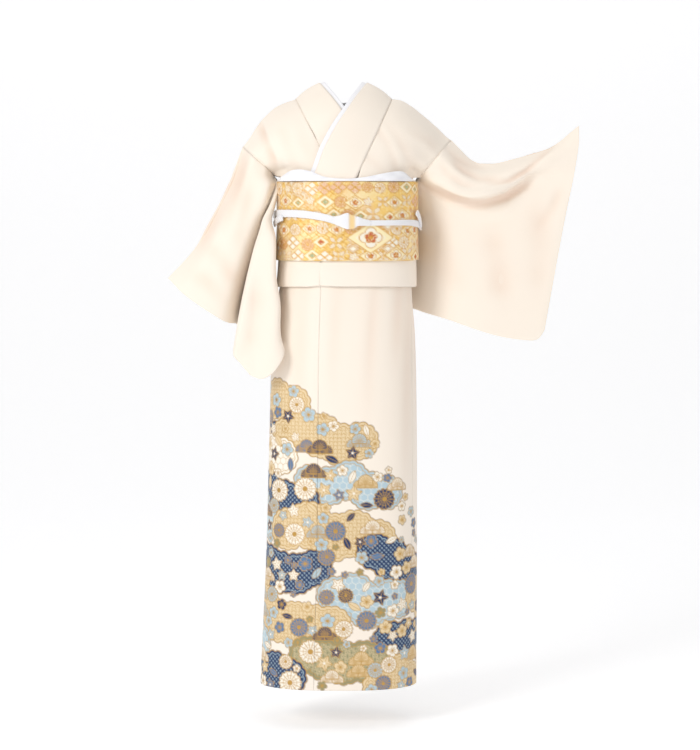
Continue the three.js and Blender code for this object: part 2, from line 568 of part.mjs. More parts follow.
// A bodice panel runs from the tuck in front over the shoulder to the tuck at the back
const BODICE_COLUMNS = 9;
function bodice(name, side, seamLine, hole, spec) {
  const top = resampled(spec.shoulder.map(vec), BODICE_COLUMNS);
  const slit = (z) => straight(spec.slit, 'z', 'half', z);
  const frontSide = (z) => side * (BODICE_SIDE_SEAM - slit(z));
  const backSide = (z) => side * (BODICE_SIDE_SEAM + slit(z));
  const frontEdge = (z) => straight(spec.innerEdge, 'z', 's', z);
  const backEdge = (z) => side * (section(z).halfRound - halfSeam);
  const backLevel = () => LEVEL.left;
  const chest = (start, hem, fromAt, toAt, levelAt) => {
    const end = resampled(hem, start.length - 1);
    const bottom = series(BODICE_COLUMNS + 1, (j) => {
      const s = lerp(fromAt(CHEST_Z), toAt(CHEST_Z), j / BODICE_COLUMNS);
      return bodyPoint(CHEST_Z, s, levelAt(s) + CLOTH);
    });
    const joined = (line, i) => [start[i], ...line.slice(1, -1), end[i]];
    return patch(joined(top, 0), joined(bottom, start.length - 1), start, end);
  };
  const centreBack = [-95, -130, CHEST_Z].map((z) => {
    return bodyPoint(Math.min(z, SECTIONS[0].z), backEdge(z), LEVEL.left + CLOTH).setZ(z);
  });
  const napeLine = [...spec.nape.map((i) => seamLine[i]), ...centreBack];
  const seamAt = spec.front.map((i) => seamLine[i]);
  const front = chest(seamAt, hole.outer.front, frontEdge, frontSide, spec.level);
  const back = chest(napeLine, hole.outer.back, backEdge, backSide, backLevel);
  const chestOuter = [...front.slice().reverse(), ...back.slice(1)];
  const away = facing(chestOuter, new THREE.Vector3(0, 0, CHEST_Z));
  const chestInner = insetGrid(chestOuter, CLOTH, false, away);
  const frontHole = resampled(hole.inner.front, front.length - 1).reverse();
  const backHole = resampled(hole.inner.back, back.length - 1);
  [...frontHole, ...backHole.slice(1)].forEach((p, i) => {
    chestInner[i][BODICE_COLUMNS] = p;
  });
  const waistFront = waistGrid(frontEdge, frontSide, BODICE_COLUMNS, spec.level, WAIST_ROWS);
  const waistBack = waistGrid(backEdge, backSide, BODICE_COLUMNS, backLevel, WAIST_ROWS);
  const whole = (part, middle) => [...waistFront[part].slice().reverse(), ...middle, ...waistBack[part]];
  piece(name, wallGeometry(whole('outer', chestOuter), whole('inner', chestInner), false), SILK);
}

function overlapTuck() {
  const free = (z) => straight(OVERLAP_FREE_EDGE, 'z', 's', z);
  const rows = [{ z: -300, fold: 0, round: 0 }, ...WAIST_ROWS.slice(4)];
  const grid = waistGrid(free, () => -OVERLAP_SEAM - halfSeam, 6, () => LEVEL.left, rows);
  piece('overlap_left_tuck', wallGeometry(grid.outer, grid.inner, false), SILK);
}

// Closed rings round the body, with a point list for each station
function roundBody(stations, pointsAt) {
  return series(stations, (i) => {
    const share = (i / stations) * 2 - 1;
    return pointsAt((z) => share * section(z).halfRound, share);
  });
}

function sash() {
  const heights = [SASH_TOP_Z, SASH_TOP_Z - 3, -280, SASH_BOTTOM_Z + 3, SASH_BOTTOM_Z];
  const soft = [0.8, 0, 0, 0, 0.8];
  const stations = 56;
  const ring = (out, sign) => heights.map((z, k) => series(stations, (i) => {
    return sashPoint(z, ((i / stations) * 2 - 1) * section(z).halfRound, out + sign * soft[k]);
  }));
  piece('sash', wallGeometry(ring(LEVEL.sash + SASH, -1), ring(LEVEL.sash, 1), true), BROCADE);
}

// A panel of the drum: a path of depth and height carried across the back
function backPanel(name, path, width, rows, cells, bowAt) {
  const line = path.map((p) => new THREE.Vector3(0, p[0], p[1]));
  const points = spaced(line, rows);
  const grid = points.map((p) => series(cells + 1, (j) => {
    const share = (2 * j) / cells - 1;
    const bow = bowAt(p) * (1 - share * share);
    return new THREE.Vector3(DRUM.centre + (share * width) / 2, p.y + bow, p.z);
  }));
  const outer = insetGrid(grid, -SASH / 2, false, 1);
  const inner = insetGrid(grid, SASH / 2, false, 1);
  piece(name, wallGeometry(outer, inner, false), BROCADE);
}

function drum() {
  backPanel('sash_drum', DRUM_PATH, DRUM.width, 24, 6, (p) => DRUM.bow * smoothstep(p.y, 150, 185));
  backPanel('sash_tail', TAIL_PATH, DRUM.width - 6, 5, 2, () => 0);
  const rows = [HAND.top, HAND.top - 3, HAND.bottom + 3, HAND.bottom];
  const grid = (out, soft) => rows.map((z, k) => series(17, (j) => {
    const s = section(z).halfRound + lerp(-HAND.halfLength, HAND.halfLength, j / 16);
    const wrapped = s > section(z).halfRound ? s - 2 * section(z).halfRound : s;
    return sashPoint(z, wrapped, out + (k % 3 === 0 ? soft : 0));
  }));
  piece('sash_hand', wallGeometry(grid(LEVEL.hand + SASH, -0.8), grid(LEVEL.hand, 0.8), false), BROCADE);
}

// The scarf is a folded sheet that rolls over the sash's top edge
function scarf() {
  const arc = 5;
  const layer = (thin) => roundBody(SCARF_STATIONS, (sAt) => {
    const s = sAt(SASH_TOP_Z);
    const rise = between(SCARF_ROLL, 's', 'rise', s) - thin;
    const deep = between(SCARF_ROLL, 's', 'deep', s) / 2 - thin;
    return series(arc + 1, (k) => {
      const turn = (Math.PI * k) / arc;
      const out = LEVEL.scarf + thin + deep * (1 - Math.cos(turn));
      const p = sashPoint(SASH_TOP_Z, s, out);
      return p.setZ(p.z + SEAM + rise * Math.sin(turn));
    });
  });
  const turned = (grid) => series(arc + 1, (k) => grid.map((column) => column[k]));
  piece('sash_scarf', wallGeometry(turned(layer(0)), turned(layer(SCARF)), true), WHITE_SILK);
}

// A flat braid: its section is a rounded strip that stands on the sash
const BRAID = [[0, -0.5], [0.5, -0.44], [0.5, 0.44], [0, 0.5], [-0.5, 0.44], [-0.5, -0.44]];
function tube(name, rings, closed) {
  const sides = rings[0].length;
  const positions = rings.flat().flatMap((p) => [p.x, p.y, p.z]);
  const triangles = [];
  const last = closed ? rings.length : rings.length - 1;
  for (let i = 0; i < last; i += 1) {
    for (let k = 0; k < sides; k += 1) {
      const next = (i + 1) % rings.length;
      const beside = (k + 1) % sides;
      triangles.push(i * sides + k, i * sides + beside, next * sides + beside);
      triangles.push(i * sides + k, next * sides + beside, next * sides + k);
    }
  }
  const end = (rings.length - 1) * sides;
  for (let k = 1; k < sides - 1 && !closed; k += 1) {
    triangles.push(0, k + 1, k, end, end + k, end + k + 1);
  }
  if (volumeOf(positions, triangles) < 0) triangles.reverse();
  const geometry = new THREE.BufferGeometry();
  geometry.setAttribute('position', new THREE.Float32BufferAttribute(positions, 3));
  geometry.setIndex(triangles);
  geometry.computeVertexNormals();
  piece(name, geometry, WHITE_SILK);
}

function cord() {
  const handStart = section(-286).halfRound - HAND.halfLength;
  const strip = (s, z, wide, thick, level) => BRAID.map(([out, up]) => {
    return sashPoint(z + up * wide, s, level + thick * (out + 0.5));
  });
  tube('sash_cord', roundBody(CORD.stations, (sAt) => {
    const s = sAt(-277);
    const over = smoothstep(Math.abs(s), handStart - 55, handStart - 15);
    const level = lerp(LEVEL.cord, LEVEL.cordOverHand, over);
    return strip(s, between(CORD_LINE, 's', 'z', s), between(CORD_LINE, 's', 'wide', s), CORD.thick, level);
  }), true);
  const onCord = LEVEL.cord + CORD.thick + SEAM;
  tube('cord_knot', KNOT_LINE.map((at) => strip(at.s, at.z, at.wide, at.thick, onCord)), false);
  for (const { name, line } of CORD_ENDS) {
    const points = spaced(line.map(([s, z]) => new THREE.Vector3(s, 0, z)), 6);
    tube(name, points.map((p, i) => {
      const along = points[Math.min(i + 1, 6)].clone().sub(points[Math.max(i - 1, 0)]).normalize();
      return BRAID.map(([out, up]) => {
        const across = up * CORD.endWidth;
        return sashPoint(p.z + along.x * across, p.x - along.z * across, onCord + CORD.thick * (out + 0.5));
      });
    }), false);
  }
}

skirt();
const seamLine = collars();
const steps = (from, to) => series(Math.abs(to - from) + 1, (i) => from + Math.sign(to - from) * i);
const stepOf = (row) => row * STEPS_PER_ROW;
const [neckLeft, nape, neckRight] = [NECK_LEFT_ROW, NAPE_ROW, NECK_RIGHT_ROW].map(stepOf);
const CHEST_STEP = 3; // the collar step that lies at the height of the chest
bodice('bodice_left', 1, seamLine, sleeve('sleeve_left', SLEEVE_LEFT, COLUMNS_LEFT), {
  front: steps(neckLeft, CHEST_STEP),
  nape: steps(neckLeft, nape),
  shoulder: SHOULDER_LEFT,
  innerEdge: INNER_EDGE_LEFT,
  slit: SLIT_LEFT,
  level: () => LEVEL.left,
});
bodice('bodice_right', -1, seamLine, sleeve('sleeve_right', SLEEVE_RIGHT, COLUMNS_RIGHT), {
  front: steps(neckRight, COLLAR_STEPS - CHEST_STEP),
  nape: steps(neckRight, nape),
  shoulder: SHOULDER_RIGHT,
  innerEdge: INNER_EDGE_RIGHT,
  slit: SLIT_RIGHT,
  level: ramp(-BODICE_SIDE_SEAM, -BODICE_SIDE_SEAM + 35, LEVEL.left, LEVEL.right),
});
overlapTuck();
sash();
drum();
scarf();
cord();

export default garment;
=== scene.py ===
# %% [markdown]
# # A formal silk kimono in its worn form
# A tomesode is a long robe of ivory silk crepe that closes left over right. A wide brocade sash,
# a white sash scarf and a flat braided cord hold it. The measured solids of all pieces come
# ready made, so this lesson dresses each of them: the cloth gets its soft creases, its crepe
# grain and its dyed and embroidered design. Its lengths are millimetres, apart from light,
# camera and floor, and the front looks towards -Y.

# %% Load the frame
import math

import bmesh
import bpy
import numpy as np
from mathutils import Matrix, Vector
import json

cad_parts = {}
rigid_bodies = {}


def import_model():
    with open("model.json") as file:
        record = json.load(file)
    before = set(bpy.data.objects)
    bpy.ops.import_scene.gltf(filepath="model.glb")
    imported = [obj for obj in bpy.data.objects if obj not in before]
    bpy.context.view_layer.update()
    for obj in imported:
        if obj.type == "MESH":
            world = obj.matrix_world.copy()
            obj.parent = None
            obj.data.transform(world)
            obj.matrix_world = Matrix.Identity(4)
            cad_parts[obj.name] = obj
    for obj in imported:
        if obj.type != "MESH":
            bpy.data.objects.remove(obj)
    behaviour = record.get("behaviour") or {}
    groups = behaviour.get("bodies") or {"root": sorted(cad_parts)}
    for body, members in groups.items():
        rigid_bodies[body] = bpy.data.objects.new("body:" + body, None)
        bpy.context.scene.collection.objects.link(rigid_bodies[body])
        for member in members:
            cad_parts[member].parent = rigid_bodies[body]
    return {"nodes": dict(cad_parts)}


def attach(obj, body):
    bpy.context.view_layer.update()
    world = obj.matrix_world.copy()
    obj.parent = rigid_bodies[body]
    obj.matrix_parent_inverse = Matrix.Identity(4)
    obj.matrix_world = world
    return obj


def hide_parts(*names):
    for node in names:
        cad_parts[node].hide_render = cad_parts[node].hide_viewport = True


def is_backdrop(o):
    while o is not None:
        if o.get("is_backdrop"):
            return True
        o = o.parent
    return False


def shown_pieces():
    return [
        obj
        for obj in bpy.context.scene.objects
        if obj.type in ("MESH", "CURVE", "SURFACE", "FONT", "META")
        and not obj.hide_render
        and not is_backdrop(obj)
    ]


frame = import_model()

for leftover in [o for o in bpy.context.scene.objects if o.name in ("Cube", "Light", "Camera")]:
    bpy.data.objects.remove(leftover)
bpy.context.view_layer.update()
print("pieces to dress:", sorted(frame["nodes"]))

# %% [markdown]
# ## Walking round the robe
# The worn robe is a tube whose cross sections are soft rounded ovals. A pattern that is drawn
# flat has to know how far round the tube each point of the cloth lies. A UV map could tell it,
# but would split at every seam. So these helpers turn a place in space into a distance s from
# the centre front (positive to the wearer's left) and a level, the distance outside the
# section. They also go back again.

# %% Cross sections of the robe
SECTIONS = np.array([
    # height, centre, half width, depth to the front, depth to the back
    [-150, 5, 135, 103, 91], [-196, 6, 137, 105, 93], [-300, 9, 139, 101, 97],
    [-372, 8, 141.5, 99, 102], [-430, 6, 145, 100, 107], [-520, 3, 155, 105, 116],
    [-609, 1, 160, 107, 120], [-787, 0, 163, 105, 116], [-1032, -3, 166, 102, 110],
    [-1309, -10, 172, 98, 106],
], dtype=float)
SQUARENESS = 2.3
SASH_TILT = 0.05
TURNS = np.linspace(0, math.pi, 241)
LEVELS = (-60.0, 90.0)  # the levels that a search looks between
HALVINGS = 34
MM = 0.001
SILK_WALL, COLLAR_WALL, SASH_WALL = 1.9, 2.9, 4.6  # a face narrower than this is on a wall's rim


def section_sizes(z):
    """Centre, half width and both depths at a height, on a smooth curve through the sections."""
    i = int(np.clip(np.sum(SECTIONS[1:, 0] > z), 0, len(SECTIONS) - 2))
    a, b = SECTIONS[i], SECTIONS[i + 1]
    share = np.clip((z - a[0]) / (b[0] - a[0]), 0, 1)
    slope_a = (b - SECTIONS[max(i - 1, 0)]) / 2
    slope_b = (SECTIONS[min(i + 2, len(SECTIONS) - 1)] - a) / 2
    turns = (share ** 3 - 2 * share ** 2 + share) * slope_a + (share ** 3 - share ** 2) * slope_b
    return (a + (b - a) * (3 * share ** 2 - 2 * share ** 3) + turns)[1:]


def on_section(sizes, turn, out):
    """The place at an angle from the centre front, some way outside the section."""
    centre, half, front, back = sizes
    side = np.sign(np.sin(turn)) * np.abs(np.sin(turn)) ** (2 / SQUARENESS)
    ahead = np.sign(np.cos(turn)) * np.abs(np.cos(turn)) ** (2 / SQUARENESS)
    depth = np.where(ahead > 0, front, back)
    return centre + (half + out) * side, -(depth + out) * ahead


def walk_round(z):
    """The section at a height, and how far round it each of the TURNS lies."""
    sizes = section_sizes(z)
    x, y = on_section(sizes, TURNS, 0)
    return sizes, np.concatenate([[0], np.cumsum(np.hypot(np.diff(x), np.diff(y)))])


print("half round at the hip:", round(walk_round(-609)[1][-1]), "mm")


# %% To a place on the robe, and back
def body_point(z, s, level):
    """Points at one height z, for arrays of s and level."""
    sizes, walked = walk_round(z)
    turn = np.interp(np.abs(s), walked, TURNS) * np.where(s < 0, -1, 1)
    return on_section(sizes, turn, level)


def body_place(x, y, z):
    """(s, level) of points given in millimetres."""
    s, level = np.zeros(len(x)), np.zeros(len(x))
    for k in range(len(x)):
        (centre, half, front, back), walked = walk_round(z[k])
        low, high = LEVELS
        depth = front if y[k] < 0 else back
        for _ in range(HALVINGS):
            mid = (low + high) / 2
            size = abs((x[k] - centre) / (half + mid)) ** SQUARENESS
            size += abs(y[k] / (depth + mid)) ** SQUARENESS
            low, high = (mid, high) if size > 1 else (low, mid)
        side = min(abs((x[k] - centre) / (half + low)), 1) ** (SQUARENESS / 2)
        ahead = min(abs(y[k] / (depth + low)), 1) ** (SQUARENESS / 2)
        turn = math.atan2(side, ahead if y[k] < 0 else -ahead)
        s[k] = np.interp(turn, TURNS, walked) * (1 if x[k] >= centre else -1)
        level[k] = low
    return s, level


side_seam = body_point(-609, np.array([120.0]), 2.0)
print("s and level, there and back:", body_place(*side_seam, np.array([-609.0])))

# %% [markdown]
# ## From a solid to cloth
# Each solid is a wall of loose triangles. Solidify could give a new sheet its wall, but the
# solids have their walls already, so a copy is used. It is merged, and its triangle pairs are
# joined to four-sided faces, because these divide into an even net. The wall's two large faces
# are then told apart: the narrow faces round its edges are left out for a moment, and what
# stays falls into an outer and an inner sheet.

# %% A merged copy and its two sheets
def merged_copy(name):
    """A copy of a node's solid, in its place, with welded points and four-sided faces."""
    source = frame["nodes"][name]
    shape = bmesh.new()
    shape.from_mesh(source.data)
    shape.transform(source.matrix_world)
    bmesh.ops.remove_doubles(shape, verts=shape.verts, dist=0.02 * MM)
    bmesh.ops.join_triangles(
        shape, faces=shape.faces, angle_face_threshold=math.pi, angle_shape_threshold=math.pi)
    shape.normal_update()
    return shape


def is_rim(face, wall):
    return face.calc_area() / max(e.calc_length() for e in face.edges) < wall


def sort_sheets(shape, wall):
    """Marks each vertex 1 on the outer sheet and 0 on the inner one. Gives the rim's faces."""
    outer = shape.verts.layers.float.new("outer")
    rim = {f for f in shape.faces if is_rim(f, wall)}
    sheets, seen = [], set()
    for start in shape.faces:
        if start in rim or start in seen:
            continue
        group, front = [], [start]
        seen.add(start)
        while front:
            face = front.pop()
            group.append(face)
            for edge in face.edges:
                for near in edge.link_faces:
                    if near not in seen and near not in rim:
                        seen.add(near)
                        front.append(near)
        sheets.append(group)
    for face in max(sheets, key=lambda group: sum(f.calc_area() for f in group)):
        for vert in face.verts:
            vert[outer] = 1.0
    return rim


sample = merged_copy("collar")
print("collar:", len(sample.faces), "faces,", len(sort_sheets(sample, COLLAR_WALL * MM)), "on its rim")
sample.free()


# %% A mesh as arrays of numbers
def new_piece(name, shape, material):
    mesh = bpy.data.meshes.new(name)
    shape.to_mesh(mesh)
    shape.free()
    obj = bpy.data.objects.new(name, mesh)
    bpy.context.scene.collection.objects.link(obj)
    mesh.materials.append(material)
    return obj


def baked(obj):
    """Puts the modifiers' result into the mesh itself."""
    graph = bpy.context.evaluated_depsgraph_get()
    mesh = bpy.data.meshes.new_from_object(obj.evaluated_get(graph), depsgraph=graph)
    mesh.name = obj.data.name
    obj.modifiers.clear()
    obj.data = mesh
    return obj


def points_of(mesh):
    values = np.empty(len(mesh.vertices) * 3)
    mesh.vertices.foreach_get("co", values)
    return values.reshape(-1, 3) / MM


def move_points(mesh, points):
    mesh.vertices.foreach_set("co", (points * MM).ravel())
    mesh.update()


def normals_of(mesh):
    values = np.empty(len(mesh.vertices) * 3)
    mesh.vertex_normals.foreach_get("vector", values)
    return values.reshape(-1, 3)


def values_of(mesh, name):
    values = np.empty(len(mesh.vertices))
    mesh.attributes[name].data.foreach_get("value", values)
    return values


def keep_values(mesh, name, values):
    kept = mesh.attributes.new(name, "FLOAT", "POINT")
    kept.data.foreach_set("value", np.asarray(values, dtype=float))


def keep_colours(mesh, name, colours):
    full = np.concatenate([colours, np.ones((len(colours), 1))], axis=1)
    mesh.attributes.new(name, "FLOAT_COLOR", "POINT").data.foreach_set("color", full.ravel())


print("a collar point lies at", points_of(frame["nodes"]["collar"].data)[0].round(), "mm")


# %% Handing a piece over
def smooth(low, high, value):
    """0 below one value, 1 above the other, and a soft step between them."""
    share = np.clip((value - low) / (high - low), 0, 1)
    return share * share * (3 - 2 * share)


def ride(obj, slot, *nodes):
    """Puts the finished piece on the body root and hides the solids that it stands for."""
    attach(obj, "root")
    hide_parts(*nodes)
    obj.data.polygons.foreach_set("use_smooth", np.ones(len(obj.data.polygons), dtype=bool))
    print(obj.name, len(obj.data.polygons), "faces")


print("half way up a soft step:", smooth(0, 10, 5))

# %% [markdown]
# ## Silk crepe
# Chirimen silk has a fine pebbled grain, because its threads are twisted hard. Seen from afar
# it is a soft, even surface with a faint sheen where it bends. The pebbles could be modelled,
# but they are a tenth of a millimetre high, so a small noise that feeds a bump is enough. Slow
# noise makes the tone a little uneven, as real dyed silk is, and the hollows of the folds get a
# painted warm shade, which stands in for their shade and the warm light that silk throws on itself.

# %% Colours and node helpers
def linear(r, g, b):
    """A colour as a paint chart gives it (0 to 255), in the linear values that a shader takes."""
    return tuple(((c / 255 + 0.055) / 1.055) ** 2.4 if c > 10 else c / 3294 for c in (r, g, b))


IVORY = linear(247, 237, 224)
IVORY_WARM = linear(245, 229, 212)
PEACH_SHADE = linear(222, 174, 142)
WHITE = linear(246, 246, 249)


def effect_group(name, inputs, outputs):
    """An empty node group with the named inputs and outputs."""
    tree = bpy.data.node_groups.new(name, "ShaderNodeTree")
    for label, kind, value in inputs:
        socket = tree.interface.new_socket(label, in_out="INPUT", socket_type=kind)
        if value is not None:
            socket.default_value = value
    for label, kind in outputs:
        tree.interface.new_socket(label, in_out="OUTPUT", socket_type=kind)
    return tree, tree.nodes.new("NodeGroupInput"), tree.nodes.new("NodeGroupOutput")


def noise_node(tree, scale, detail):
    noise = tree.nodes.new("ShaderNodeTexNoise")
    noise.inputs["Scale"].default_value = scale
    noise.inputs["Detail"].default_value = detail
    return noise


def math_node(tree, operation, a, b=None):
    """The result of a sum of two values. Each is a socket or a number."""
    node = tree.nodes.new("ShaderNodeMath")
    node.operation = operation
    for k, value in enumerate((a, b)):
        if value is None:
            continue
        if isinstance(value, (int, float)):
            node.inputs[k].default_value = value
        else:
            tree.links.new(value, node.inputs[k])
    return node.outputs[0]


print("ivory:", [round(part, 3) for part in IVORY])


# %% The grain group
PEBBLES, CLOTH_TONE = 620, 9  # scales of the fine and the slow noise
GRAIN_STRENGTH, GRAIN_HEIGHT = 0.35, 0.0006
SILK_ROUGHNESS, GOLD_THREAD_GLOSS = 0.62, 0.24


def make_crepe_group():
    tree, given, out = effect_group(
        "crepe_grain", [("Vector", "NodeSocketVector", None)],
        [("Height", "NodeSocketFloat"), ("Tone", "NodeSocketFloat")])
    grain = noise_node(tree, PEBBLES, 2.0)
    slow = noise_node(tree, CLOTH_TONE, 2.0)
    for noise in (grain, slow):
        tree.links.new(given.outputs["Vector"], noise.inputs["Vector"])
    tree.links.new(grain.outputs["Fac"], out.inputs["Height"])
    tree.links.new(slow.outputs["Fac"], out.inputs["Tone"])
    return tree


crepe_group = make_crepe_group()
print("group", crepe_group.name, "has", len(crepe_group.nodes), "nodes")


# %% A cloth material and what feeds it
def new_material(name, roughness, sheen=0.0):
    material = bpy.data.materials.new(name)
    material.use_nodes = True
    shader = material.node_tree.nodes["Principled BSDF"]
    shader.inputs["Roughness"].default_value = roughness
    shader.inputs["Sheen Weight"].default_value = sheen
    shader.inputs["Sheen Roughness"].default_value = 0.4
    shader.inputs["Specular IOR Level"].default_value = 0.35
    return material, material.node_tree, shader


def attribute(tree, name):
    node = tree.nodes.new("ShaderNodeAttribute")
    node.attribute_name = name
    return node


def mixed(tree, share, a, b):
    """A colour between a and b. Each is a socket or a colour."""
    mix = tree.nodes.new("ShaderNodeMix")
    mix.data_type = "RGBA"
    for socket, value in ((mix.inputs[0], share), (mix.inputs[6], a), (mix.inputs[7], b)):
        if isinstance(value, (int, float)):
            socket.default_value = value
        elif isinstance(value, tuple):
            socket.default_value = (*value, 1.0)
        else:
            tree.links.new(value, socket)
    return mix.outputs[2]


def bumped(tree, shader, height, strength, distance):
    bump = tree.nodes.new("ShaderNodeBump")
    bump.inputs["Strength"].default_value = strength
    bump.inputs["Distance"].default_value = distance
    tree.links.new(height, bump.inputs["Height"])
    tree.links.new(bump.outputs["Normal"], shader.inputs["Normal"])


def crepe_nodes(tree):
    place = tree.nodes.new("ShaderNodeTexCoord")
    crepe = tree.nodes.new("ShaderNodeGroup")
    crepe.node_tree = crepe_group
    tree.links.new(place.outputs["Object"], crepe.inputs["Vector"])
    return crepe


print("helpers for materials are ready")


# %% Silks
def make_silk(name, colour, warm, shade, patterned):
    """Crepe silk with a painted warm shade in its hollows. A patterned one also shows the dyed and gold
    design.
    """
    material, tree, shader = new_material(name, SILK_ROUGHNESS, sheen=0.25)
    crepe = crepe_nodes(tree)
    height = crepe.outputs["Height"]
    tone = math_node(tree, "MULTIPLY", crepe.outputs["Tone"], 0.35)
    base = mixed(tree, tone, colour, warm)
    # painted shade: the fold value of each point mixes the shade colour into the base colour
    hollow_shade = math_node(tree, "MULTIPLY", attribute(tree, "fold").outputs["Fac"], 0.45)
    base = mixed(tree, hollow_shade, base, shade)
    if patterned:
        drawn, cover = attribute(tree, "design"), attribute(tree, "dyed")
        gold = attribute(tree, "gold").outputs["Fac"]
        base = mixed(tree, cover.outputs["Fac"], base, drawn.outputs["Color"])
        tree.links.new(math_node(tree, "MULTIPLY", gold, 0.75), shader.inputs["Metallic"])
        glossy = math_node(tree, "MULTIPLY", gold, GOLD_THREAD_GLOSS)
        rough = math_node(tree, "SUBTRACT", SILK_ROUGHNESS, glossy)
        tree.links.new(rough, shader.inputs["Roughness"])
        height = math_node(tree, "ADD", height, math_node(tree, "MULTIPLY", gold, 1.2))
    bumped(tree, shader, height, GRAIN_STRENGTH, GRAIN_HEIGHT)
    tree.links.new(base, shader.inputs["Base Color"])
    return material


# the third colour of each silk is the painted shade that its hollows take
ivory_silk = make_silk("ivory_crepe", IVORY, IVORY_WARM, PEACH_SHADE, False)
hem_silk = make_silk("ivory_crepe_with_design", IVORY, IVORY_WARM, PEACH_SHADE, True)
white_silk = make_silk("white_crepe", WHITE, linear(236, 236, 242), linear(200, 200, 210), False)
print("silks:", ivory_silk.name, hem_silk.name, white_silk.name)

# %% [markdown]
# ## Drawing with numbers
# The design on the skirt and the brocade of the sash could come from a picture or from shader
# nodes. Here they are drawn without either, so that each flower can be placed by hand and goes
# with the cloth. For every point of the finely divided cloth a few formulas say what is there:
# a petal, an outline or bare silk. The helpers paint one motif after another into an array of
# colours, as a dyer lays one paste over the next.

# %% Dyes
NAVY = linear(36, 58, 98)
BLUE = linear(88, 124, 164)
PALE_BLUE = linear(180, 202, 212)
GOLD = linear(196, 154, 84)
BEIGE = linear(230, 207, 166)
CREAM = linear(247, 240, 226)
OLIVE = linear(150, 146, 110)
PEACH = linear(233, 190, 158)
RUST = linear(196, 92, 60)
print("navy:", [round(part, 3) for part in NAVY])


# %% A canvas of cloth points
class Canvas:
    """Points (s, z) in millimetres with the colour, cover and gold that each has so far."""

    def __init__(self, s, z, half=None):
        self.s, self.z = s, z
        self.round = None if half is None else 2 * half
        self.colour = np.zeros((len(s), 3))
        self.cover = np.zeros(len(s))
        self.gold = np.zeros(len(s))
        self.thread = GOLD  # the colour of outlines

    def paint(self, where, share, colour, gold=0.0):
        share = np.clip(share, 0, 1)
        self.colour[where] += (np.array(colour) - self.colour[where]) * share[:, None]
        self.cover[where] = np.maximum(self.cover[where], share)
        self.gold[where] += (gold - self.gold[where]) * share

    def across(self, s):
        """How far each point lies from s, the short way round."""
        ds = self.s - s
        return ds if self.round is None else ds - self.round * np.round(ds / self.round)

    def near(self, s, z, reach):
        ds, dz = self.across(s), self.z - z
        where = np.nonzero((np.abs(ds) < reach) & (np.abs(dz) < reach))[0]
        return where, np.hypot(ds[where], dz[where]), np.arctan2(ds[where], dz[where])


SOFT = 2.0  # an edge fades over this many millimetres


def inside(distance):
    """1 where a signed distance is below zero, with a soft edge."""
    return np.clip(0.5 - distance / SOFT, 0, 1)


def line(distance, width):
    return np.clip(0.5 + (width / 2 - np.abs(distance)) / SOFT, 0, 1)


def rays(r, angle, number, turn, width):
    """Thin lines that run out from the middle."""
    return line(np.sin(number / 2 * (angle + turn)) * r * 2 / number, width)


print("share of an edge that lies under the paint:", inside(0.0))


# %% Flowers
def outlined(canvas, where, rim, fill, veins, width=1.6):
    """Fills a shape, then draws its veins and its outline in thread."""
    canvas.paint(where, inside(rim), fill)
    canvas.paint(where, veins, canvas.thread, 0.8)
    canvas.paint(where, line(rim, width), canvas.thread, 1.0)


def chrysanthemum(canvas, s, z, size, fill, turn=0.0, petals=14):
    where, r, angle = canvas.near(s, z, size * 1.15)
    rim = r - size * (0.88 + 0.12 * np.abs(np.cos(petals / 2 * (angle + turn))))
    veins = rays(r, angle, petals, turn, 1.4) * inside(rim) * (r > size * 0.3)
    outlined(canvas, where, rim, fill, veins, 1.8)
    canvas.paint(where, line(r - size * 0.6, 1.0) * 0.7, canvas.thread, 0.8)
    canvas.paint(where, inside(r - size * 0.24), canvas.thread, 1.0)


def plum_blossom(canvas, s, z, size, fill, turn=0.0):
    where, r, angle = canvas.near(s, z, size * 1.1)
    rim = r - size * (0.66 + 0.34 * np.abs(np.cos(2.5 * (angle + turn))) ** 0.7)
    outlined(canvas, where, rim, fill, rays(r, angle, 10, turn, 1.0) * (r < size * 0.55))
    canvas.paint(where, inside(r - size * 0.18), canvas.thread, 1.0)


def bellflower(canvas, s, z, size, fill, turn=0.0):
    where, r, angle = canvas.near(s, z, size * 1.1)
    fold = np.abs(((angle + turn) / (2 * math.pi) * 5) % 1 - 0.5) * 2
    rim = r - size * (0.55 + 0.45 * fold ** 1.6)
    outlined(canvas, where, rim, fill, rays(r, angle, 5, turn, 1.2) * inside(rim))
    canvas.paint(where, inside(r - size * 0.16), CREAM)


print("flowers: chrysanthemum, plum blossom, bellflower")


# %% Leaf and pine
def leaf(canvas, s, z, length, fill, turn=0.0):
    where, r, angle = canvas.near(s, z, length * 0.6)
    along, across = r * np.cos(angle - turn), r * np.sin(angle - turn)
    width = length * 0.22 * np.clip(1 - (along / (length * 0.5)) ** 2, 0, 1)
    rim = np.where(np.abs(along) < length * 0.5, np.abs(across) - width, 9)
    canvas.paint(where, inside(rim), fill)
    canvas.paint(where, line(rim, 1.2), canvas.thread, 0.9)
    canvas.paint(where, line(across, 0.8) * inside(rim), canvas.thread, 0.9)


def pine(canvas, s, z, size, fill, turn=0.0):
    """Three heads of needles under one another, each a round with a flat foot."""
    for ds, dz, share in ((-0.8, -0.55, 0.8), (0.8, -0.55, 0.8), (0, 0, 0.95)):
        where, r, angle = canvas.near(s + ds * size, z + dz * size, size * share * 1.1)
        rim = np.maximum(r - size * share, -(r * np.cos(angle)) - size * share * 0.35)
        outlined(canvas, where, rim, fill, rays(r, angle, 18, 0, 0.9) * inside(rim))


print("greens: leaf, pine")

# %% [markdown]
# ## Grounds and clouds
# Kimono dyers divide a large surface with cloud shapes and fill each with its own small
# repeat: linked rings, hexagons or dots. The rims are scalloped and drawn in gold. An outline
# could be drawn point by point. Here a cloud is a chain of scalloped rounds, whose edge is the
# nearest of their rims, so that it needs only two end points and a size.

# %% Small repeats
def cells(s, z, wide, tall):
    """The place within its cell of each point, for both halves of a staggered grid."""
    for shift in (0, 0.5):
        yield ((s / wide + shift) % 1 - 0.5) * wide, ((z / tall + shift) % 1 - 0.5) * tall


